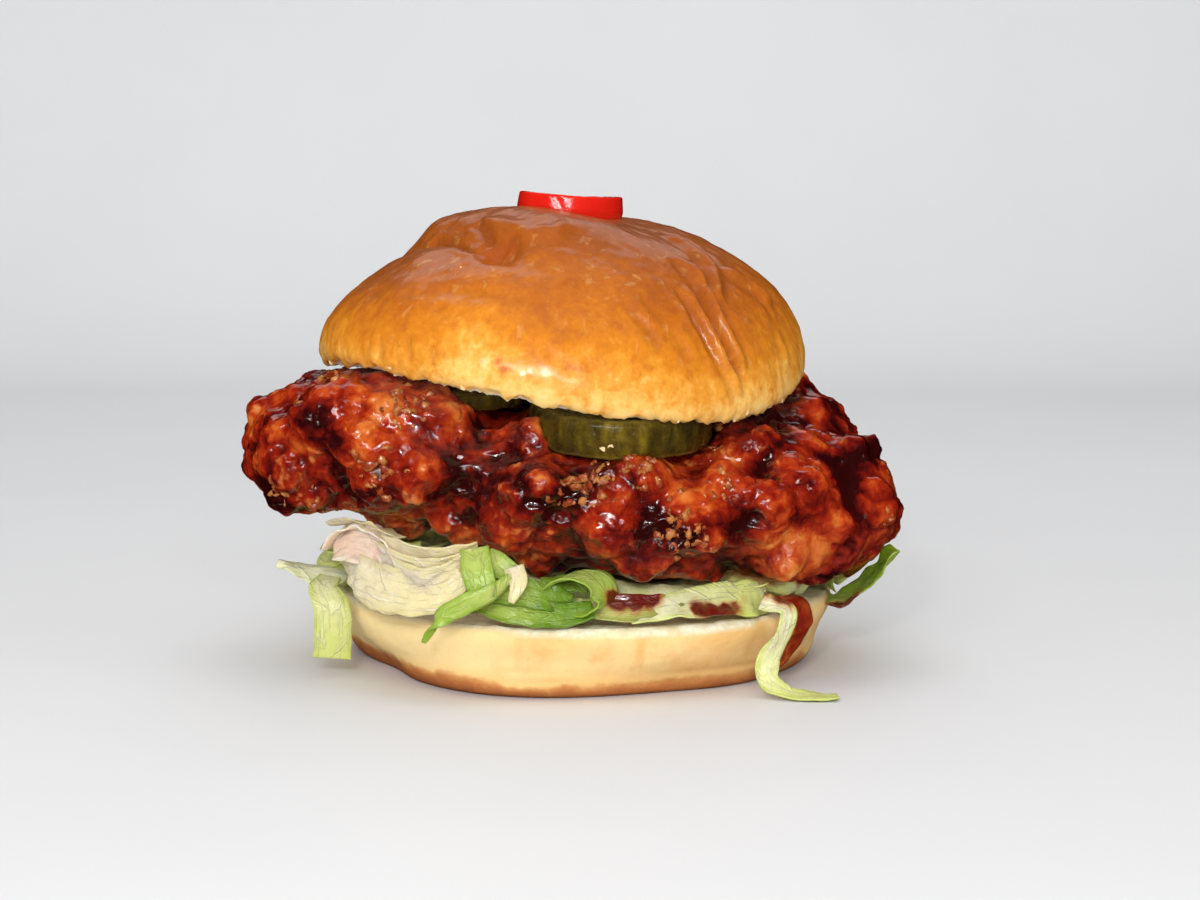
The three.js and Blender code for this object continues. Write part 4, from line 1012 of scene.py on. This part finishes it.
wet_skin = np.vstack([wet_skin, spine[:1], spine[-1:]]) / 1000
seat(mesh_piece("glaze_run", wet_skin, [face[::-1] for face in skin_faces(rows, lanes)],
                sauce_finish.material, {"rise": np.full(len(wet_skin), 1.3),
                                        "lumps": np.full(len(wet_skin), 0.4)}),
     "glazed_coat", "heel")

# The pickles
# Two slices of pickled cucumber under the crown: a thick one that stands out in front, with its
# warty olive skin towards the viewer, and a thinner one behind it to the left.

PICKLE_TURNS = (4, 1.5)
PICKLE_ROWS, PICKLE_COLUMNS = 60, 220
# Place, radius and thickness in mm.
PICKLE_FRONT = ((10.7, -30.5, 57.6), 20, 8.6)
PICKLE_BACK = ((-23, -21, 63.6), 14, 3.6)


def pickle(name, node, at, radius, thick, seed):
    half = thick / 2
    outline = [(0, -half), (radius - 1.2, -half), (radius, -half * 0.7), (radius + 0.15, 0),
               (radius, half * 0.7), (radius - 1.0, half), (0, half)]
    slice_skin = turned(resampled(outline, PICKLE_ROWS, 0.9), PICKLE_COLUMNS)
    angle, reach = ground(slice_skin)
    lobed = 1 + 0.018 * np.sin(3 * angle + radius) + 0.012 * np.sin(7 * angle)
    wall = smooth(reach, radius - 1.6, radius - 0.2)
    ribbed = 0.012 * np.sin(19 * angle + 0.8 * np.sin(3 * angle))
    warts = cloud(slice_skin, 1.7, seed, 2)
    lobed += wall * (ribbed * 0.5 + 0.008 * warts)
    slice_skin[:, 0] *= lobed
    slice_skin[:, 1] *= lobed * 0.98
    flesh = (1 - wall) * smooth(reach, 1, 6)
    slice_skin[:, 2] += flesh * (0.25 * cloud(slice_skin * (1, 1, 0), 3.4, seed + 4, 2) - 0.2)
    every = np.vstack([slice_skin, [(0, 0, -half), (0, 0, half)]])
    placed = lay(every, lying(at, *PICKLE_TURNS)) / 1000
    faces = skin_faces(PICKLE_ROWS - 2, PICKLE_COLUMNS)
    marks = {"skin": np.r_[wall, 0, 0], "turn": np.r_[angle / tau, 0, 0]}
    return seat(mesh_piece(name, placed, faces, pickle_finish.material, marks), "pickle", node)


pickle_finish = new_finish("pickle")
rind = pickle_finish.mark("skin")
mottle = pickle_finish.grain(0.0042, 5, 1.0, warp=0.5)
speck = pickle_finish.grain(0.0013, 4, 5.0)
streaks = pickle_finish.grain(0.0032, 4, 7.0, at=pickle_finish.upright(0.28), warp=0.4)
# The middle of the wall that faces the front is painted lighter and its sides darker: painted
# light.
mid_wall = pickle_finish.rise(abs(pickle_finish.mark("turn") + 0.25), 0.1, 0.0) - 0.4
rind_colour = pickle_finish.ramp(
    streaks * 0.75 + mottle * 0.35 - 0.06 + mid_wall * 0.12, (0.0, 28, 21, 6),
    (0.36, 50, 39, 8), (0.5, 76, 60, 11), (0.66, 116, 98, 16), (0.85, 164, 144, 34))
rind_colour = pickle_finish.blend(pickle_finish.rise(speck, 0.6, 0.75) * 0.55, rind_colour,
                                  (112, 104, 48))
inner_colour = pickle_finish.blend(mottle, (120, 92, 32), (150, 136, 60))
set_finish(pickle_finish, {
    "Base Color": pickle_finish.blend(rind, inner_colour, rind_colour),
    "Roughness": speck * 0.25 + 0.16,
    "Coat Weight": 0.2, "Coat Roughness": 0.08, "Specular IOR Level": 0.2,
    **soft_light(0.2, (1.0, 1.0, 0.3), 0.0025),
    "Normal": pickle_finish.bump(speck + mottle, 0.0004),
})
front_slice = pickle("pickle_slice_front", "pickle_front", *PICKLE_FRONT, 1.0)
pickle("pickle_slice_back", "pickle_back", *PICKLE_BACK, 2.0)
crumb_finish = new_finish("bread_crumb")
pale = crumb_finish.grain(0.0015, 3, 6.0)
set_finish(crumb_finish, {
    "Base Color": crumb_finish.blend(pale, (216, 174, 112), (240, 216, 170)),
    "Roughness": pale * 0.2 + 0.55,
})
strew("pickle_crumbs", front_slice, near_spots(places(front_slice), [
    (4.7, -49.8, 54.4), (8.4, -50.2, 54.3)], 0.9), "crown_crust",
      crumb_finish.material, {"Density": 1200000.0, "Smallest": 0.0004, "Largest": 0.0008,
                              "Seed": 2.0})

# The crown
# The upper half of the soft roll, its skin brushed with egg and baked golden. It has a sunk
# dimple and a fold on its left shoulder, where the dough was drawn together, and long wrinkles
# down its right side where it was squeezed.

# In mm: the crown's radius, its height, and how far its top leans to the right.
CROWN_RADIUS = 55.5
CROWN_HEIGHT = 35
CROWN_SHIFT = 1.2
CROWN_ROWS, CROWN_COLUMNS = 150, 520
CROWN_LIE = lying((-2, 0, 66.8), 3.8, 1)
# Where the dimple lies, and where the crease that runs into it starts.
DIMPLE = np.array([-14.0, -25.5])
CREASE_START = np.array([-42.0, 6.0])
# Depth and width in mm, and points on the way that each one runs. Those with a depth below 0
# stand up as ridges.
WRINKLES = [
    (-1.15, 1.35, [(24.4, -19.1, 29.4), (27.9, -23.2, 26.6), (31.7, -27.8, 22.5),
                 (33.9, -33.9, 16.4), (36.5, -35.4, 12.3), (38.4, -36, 8.8), (41.1, -34.7, 5.6)]),
    (-0.95, 1.1, [(27.7, -33.5, 21), (31.7, -37.4, 15.1), (33.5, -38.9, 11.4),
                 (35.7, -39.4, 7.8), (37.7, -39.2, 3.8), (39.6, -37.8, 0.3)]),
    (1.2, 0.9, [(27.6, -28.6, 24), (29.5, -30.8, 22), (31.6, -34.4, 17.6), (35, -37.2, 11.9),
                (37.6, -37.7, 7), (39.6, -36.6, 3)]),
    (0.9, 0.85, [(23.7, -32.3, 23.7), (26.9, -35.3, 20.2), (29.1, -38, 16.6), (32.8, -40, 11),
                (34, -40.6, 7)]),
    (0.9, 1.0, [(27, -13, 30), (30.4, -19.6, 27.2), (32.4, -26.6, 22.9), (34, -31, 18.6)]),
    (-0.5, 1.2, [(24.7, -41, 16.6), (26.1, -42, 14.6), (28.3, -43.1, 11.2), (29.8, -43.3, 8.4)]),
    (-0.4, 1.3, [(14.5, -39.6, 22.4), (16.7, -41.7, 19.9), (18.6, -43.6, 17)]),
    (0.5, 1.2, [(15.3, -43.4, 19), (18.5, -45.4, 15.4), (21.8, -47.1, 11.1)]),
    (-0.9, 1.4, [(20.3, -6.9, 32.6), (26.8, -7.8, 31), (31.9, -14.5, 27.8), (33.6, -18.4, 25.7),
                 (33.8, -26, 22.3), (34.4, -30.5, 18.9)]),
    (-0.7, 1.7, [(34.1, -16.2, 26.2), (40.7, -12.1, 23.1), (44.9, -12, 19.3), (46.4, -13.1, 17.3)]),
    (0.6, 1.2, [(36.6, -18.6, 22.5), (42.4, -15.8, 18.6), (46.6, -17, 13.4)]),
    (-0.4, 1.2, [(48.5, -19.6, 12.7), (49.7, -19.5, 8.5), (49.6, -20.4, 5)]),
    (0.9, 0.9, [(-35, -2, 27), (-32.1, -6.8, 28.7), (-29.4, -6.8, 29.4), (-24.9, -14.1, 30),
                (-21.2, -21.4, 28.8), (-16.9, -25.7, 26.9)]),
    (1.1, 1.0, [(-20.6, -10.5, 34.6), (-17.3, -17.8, 32.6), (-15.7, -21, 30.4)]),
    (-0.7, 1.0, [(-18.4, -22.4, 29), (-16.6, -24.8, 28), (-13, -25.6, 28), (-10.6, -24, 29.4),
                 (-11.4, -21.6, 30.4), (-14.6, -20.8, 30.6)]),
    (0.3, 1.8, [(-35.2, -31.2, 20.5), (-26.9, -36.3, 21.9), (-19.2, -40.2, 22.3),
                (-12.3, -43.3, 21.8), (-7.6, -45, 21), (-3.2, -47.6, 18.6), (1.5, -50.3, 15.5),
                (5.4, -50.7, 13.9)]),
    (0.35, 0.8, [(-28.2, -38.8, 19.7), (-24.7, -42.9, 18.2), (-20.4, -44.7, 18.6)]),
    (0.35, 0.8, [(-26.9, -42.9, 17.1), (-21.7, -45.5, 17.2)]),
    (0.4, 0.8, [(-33, -42.3, 13.5), (-32.1, -44.7, 8)]),
    (0.4, 0.8, [(-28.1, -46.3, 12), (-26.1, -48.4, 6.6)]),
    (0.4, 0.9, [(-40, -38, 14), (-39.4, -40, 6)]),
    (-0.8, 2.0, [(-19.1, -10.5, 35.4), (-14.4, -16.8, 34.7), (-8.3, -23.2, 32.9), (-2, -23.2, 34),
                 (1.9, -17, 35.8)]),
]


def crown_relief(x, y):
    length = np.hypot(*(DIMPLE - CREASE_START))
    run_way = (DIMPLE - CREASE_START) / length
    off_x, off_y = x - CREASE_START[0], y - CREASE_START[1]
    run = off_x * run_way[0] + off_y * run_way[1]
    behind = run_way[0] * off_y - run_way[1] * off_x
    near = smooth(run, -14, 4) * (1 - smooth(run, length, length + 18))
    shoulder = 1 - smooth(-x, 29, 38)
    lump = 3.6 * near * shoulder * smooth(behind, -3, 9) * (1 - smooth(behind, 12, 36))
    groove = 1.4 * near * hump(behind, 2.8)
    pinch = 2.6 * hump(np.hypot(x - DIMPLE[0], y - DIMPLE[1]), 4.6)
    return lump - groove - pinch - 1.2 * smooth(-x, 30, 44)


def gap_to(points, path):
    """Distance from each point to a path of straight runs, and how far along it lies, 0 to 1."""
    path = np.array(path, float)
    best, where = np.full(len(points), 1e9), np.zeros(len(points))
    for k, (a, b) in enumerate(zip(path[:-1], path[1:])):
        t = np.clip((points - a) @ (b - a) / ((b - a) @ (b - a)), 0, 1)
        gap = np.linalg.norm(points - a - t[:, None] * (b - a), axis=1)
        closer = gap < best
        best[closer] = gap[closer]
        where[closer] = (k + t[closer]) / (len(path) - 1)
    return best, where


lip = [(0, 0), (CROWN_RADIUS - 3.5, 0), (CROWN_RADIUS - 1.1, 0.5), (CROWN_RADIUS, 2.2)]
dome = [(CROWN_RADIUS * cos(t), 2.2 + 32.8 * sin(t)) for t in np.linspace(0, pi / 2, 60)]
crown = turned(resampled(lip + dome[1:], CROWN_ROWS, 0.8), CROWN_COLUMNS)
angle, radius = ground(crown)
height = (crown[:, 2] / CROWN_HEIGHT).clip(0)
wobble = 1 + 0.012 * np.sin(2 * angle + 0.6) + 0.008 * np.sin(3 * angle - 1.1)
crown[:, 0] = crown[:, 0] * wobble + CROWN_SHIFT * height
crown[:, 1] *= wobble
x, y = crown[:, 0].copy(), crown[:, 1].copy()
crown[:, 2] += crown_relief(x, y) * smooth(height, 0.1, 0.75)
crown[:, 2] += (0.0033 * x * y * np.where(y < 0, 1, 0.35)) * (1 - 0.85 * height)
outward = unit(np.stack([x, y, 1.7 * crown[:, 2] - 6], 1))
skinned = smooth(height, 0.0, 0.05)
sunk = np.zeros(len(crown))
bendy = cloud(crown, 8, 5.0)
for depth, width, path in WRINKLES:
    gap, where = gap_to(crown, path)
    gap = gap + 0.4 * bendy
    ends = smooth(where, 0, 0.2) * (1 - smooth(where, 0.8, 1))
    # Each one has a low fold the other way along both its sides.
    sunk += 1.15 * depth * ends * (hump(gap, width) - 0.45 * hump(gap - 2.2 * width, width))
grainwise = crown * (1, 1, 0.35)
swell = (0.6 * cloud(crown, 15, 3.7) + 0.24 * cloud(crown, 5.5, 4.4, 2)
         + 0.1 * cloud(grainwise, 1.9, 7.7, 2))
crown += outward * (skinned * (swell - sunk))[:, None]
above_rim = CROWN_HEIGHT * height - 0.5
rag = hump(above_rim, 1.0) * smooth(radius, 48, 53)
crown[:, 2] += rag * (1.1 * cloud(crown, 3.4, 2.9, 3) + 0.6 * cloud(crown, 1.3, 9.9))
under_cut = (height < 0.02) * (radius < CROWN_RADIUS - 2.5)
crown[:, 2] += under_cut * 0.3 * cloud(crown, 2.4, 6.6, 2)
crown_top = CROWN_HEIGHT + crown_relief(CROWN_SHIFT, 0)
poles = np.array([(0, 0, 0), (CROWN_SHIFT, 0, crown_top)])
every = np.vstack([crown, poles])
placed = lay(every, CROWN_LIE)
# The soft cut face gives way where the pickle slices press into it.
for at, reach, thick in (PICKLE_FRONT, PICKLE_BACK):
    lie = lying(at, *PICKLE_TURNS)
    local = lay(placed, lie.inverted())
    room = thick / 2 + 0.3
    inside = (np.hypot(local[:, 0], local[:, 1]) < reach + 0.6) & (np.abs(local[:, 2]) < room)
    local[inside, 2] = room
    placed = lay(local, lie)

crown_marks = {
    "bake": np.r_[height, 0, 1], "cut": np.r_[under_cut, 1, 0],
    # the depth of the grooves, for painted shade in them
    "crease": np.r_[sunk.clip(0, 1), 0, 0],
    "stain": 0.9 * near_spots(every, [(-13.1, -52.5, 9.9), (-12, -53.2, 8.4)], 1.0)
    # These spots darken the dimple: painted shade.
    + 0.3 * near_spots(every, [(-15.4, -23.6, 29), (-12.4, -23.4, 29.4)], 2.6)}
crown_finish = new_finish("crown_crust")
baked = crown_finish.mark("bake")
soft_cloud = crown_finish.grain(0.022, 4, 1.0)
freckle = crown_finish.grain(0.0028, 5, 4.0)
fine = crown_finish.grain(0.0009, 4, 6.0)
across = crown_finish.axis("X") * 1000
streaks = crown_finish.grain(0.0026, 4, 8.0, warp=0.6, at=crown_finish.upright(0.3))
# Towards the left the crust is painted darker: painted shade.
level = (baked + (soft_cloud - 0.5) * 0.6 + (freckle - 0.5) * 0.5 + (streaks - 0.5) * 0.24
         + (fine - 0.5) * 0.2 + across * 0.0012 + 0.03
         + crown_finish.rise(across, -18.0, -46.0) * 0.2)
crust = crown_finish.ramp(
    level, (0.0, 238, 200, 126), (0.12, 238, 186, 98), (0.27, 224, 150, 48),
    (0.42, 206, 124, 24), (0.62, 186, 102, 20), (0.82, 164, 84, 20), (1.0, 148, 74, 22))
crust = crown_finish.layered(
    crust, (crown_finish.rise(freckle, 0.54, 0.76) * 0.4, (172, 92, 38)),
    (crown_finish.rise(streaks, 0.56, 0.74) * 0.25, (246, 196, 116)),
    # darker brown in the wrinkle grooves: painted shade
    (crown_finish.mark("crease") * 0.65, (146, 72, 26)),
    # spots by the front rim, and painted shade in the dimple
    (crown_finish.mark("stain"), (178, 72, 26)))
crumb = crown_finish.blend(freckle, (232, 218, 180), (250, 244, 224))
open_face = crown_finish.mark("cut")
set_finish(crown_finish, {
    "Base Color": crown_finish.blend(open_face, crust, crumb),
    "Roughness": (freckle - 0.5) * 0.18 + open_face * 0.4 + 0.36,
    "Coat Weight": 0.38 - open_face * 0.38, "Coat Roughness": 0.17,
    "Specular IOR Level": 0.2,
    **soft_light(0.06, (1.0, 0.6, 0.3), 0.004),
    "Normal": crown_finish.bump(freckle * 0.7 + fine * 0.4 + streaks * 0.6, 0.00028),
})
crown_faces = skin_faces(CROWN_ROWS - 2, CROWN_COLUMNS)
crown_piece = seat(mesh_piece("crown_bun", placed / 1000, crown_faces, crown_finish.material,
                              crown_marks), "crown_crust", "crown")
rim_band = hump(above_rim, 0.6) * smooth(radius, 51.5, 53)
torn = smooth(cloud(crown, 6.0, 6.2), 0.05, 0.5) * (0.3 + 0.7 * smooth(x, 5, 34))
# One crumb lies by itself on the left shoulder.
shoulder_spot = every[np.argmin(np.linalg.norm(every - (-22.8, -30.6, 26.1), axis=1))]
fallen = 8 * near_spots(every, [shoulder_spot], 0.6)
strew("rim_crumbs", crown_piece, np.r_[rim_band * (0.1 + torn), 0, 0] + fallen, "crown_crust",
      crumb_finish.material, {"Density": 420000.0, "Smallest": 0.0003, "Largest": 0.0008,
                              "Seed": 7.0})

# The chilli ring
# One slice of fresh red chilli on top of the crown: a glossy red wall, paler flesh on the cut
# faces and a hollow middle.

CHILLI_ROWS, CHILLI_COLUMNS = 48, 200
chilli_outline = [(9.2, -3.3), (11.4, -3.3), (12.0, 0), (11.6, 3.3), (9.6, 3.3), (9.2, 0)]
section = spaced(chilli_outline + chilli_outline[:1], CHILLI_ROWS, endpoint=False)[0]
section = (np.roll(section, 1, 0) + 2 * section + np.roll(section, -1, 0)) / 4
flat = turned(section, CHILLI_COLUMNS)
angle, reach = ground(flat)
squash = 1 + 0.05 * np.sin(2 * angle + 0.4) + 0.02 * np.sin(3 * angle)
tear = hump(np.degrees(angle) + 98 + 3.0 * flat[:, 2], 5) * smooth(reach, 10.6, 11.6)
squash = squash - 0.02 * tear + 0.004 * cloud(flat, 3.0, 1.1)
flat[:, 0] *= squash
flat[:, 1] *= squash
flat[:, 2] += np.where(flat[:, 2] > 0, 0.2 * np.sin(angle * 2 + 1.2), 0)
flat[:, 2] += np.where(flat[:, 2] > 2.4, 0.14 * cloud(flat, 1.4, 5.5), 0)
wall_mark = smooth(reach, 10.9, 11.5)
placed = lay(flat, lying((-0.5, 5, 103), -2.5, 3.5))
grid = np.arange(len(flat)).reshape(CHILLI_ROWS, CHILLI_COLUMNS)
right, over = np.roll(grid, -1, 1), np.roll(grid, -1, 0)
ring_faces = np.stack([grid, right, np.roll(right, -1, 0), over], -1).reshape(-1, 4).tolist()
chilli_finish = new_finish("chilli")
wall = chilli_finish.mark("wall")
tone = chilli_finish.grain(0.006, 3, 2.0)
flesh = chilli_finish.blend(tone, (196, 40, 22), (222, 84, 48))
peel = chilli_finish.blend(tone, (212, 20, 10), (230, 36, 18))
set_finish(chilli_finish, {
    "Base Color": chilli_finish.blend(wall, flesh, peel),
    "Roughness": tone * 0.1 + 0.16,
    "Coat Weight": 0.5, "Coat Roughness": 0.05,
    **soft_light(0.1, (1.0, 0.2, 0.1), 0.002),
    "Normal": chilli_finish.bump(chilli_finish.grain(0.0011, 3, 4.0), 0.00012),
})
seat(mesh_piece("chilli_slice", placed / 1000, ring_faces, chilli_finish.material,
                {"wall": wall_mark}), "chilli", "chilli_ring")
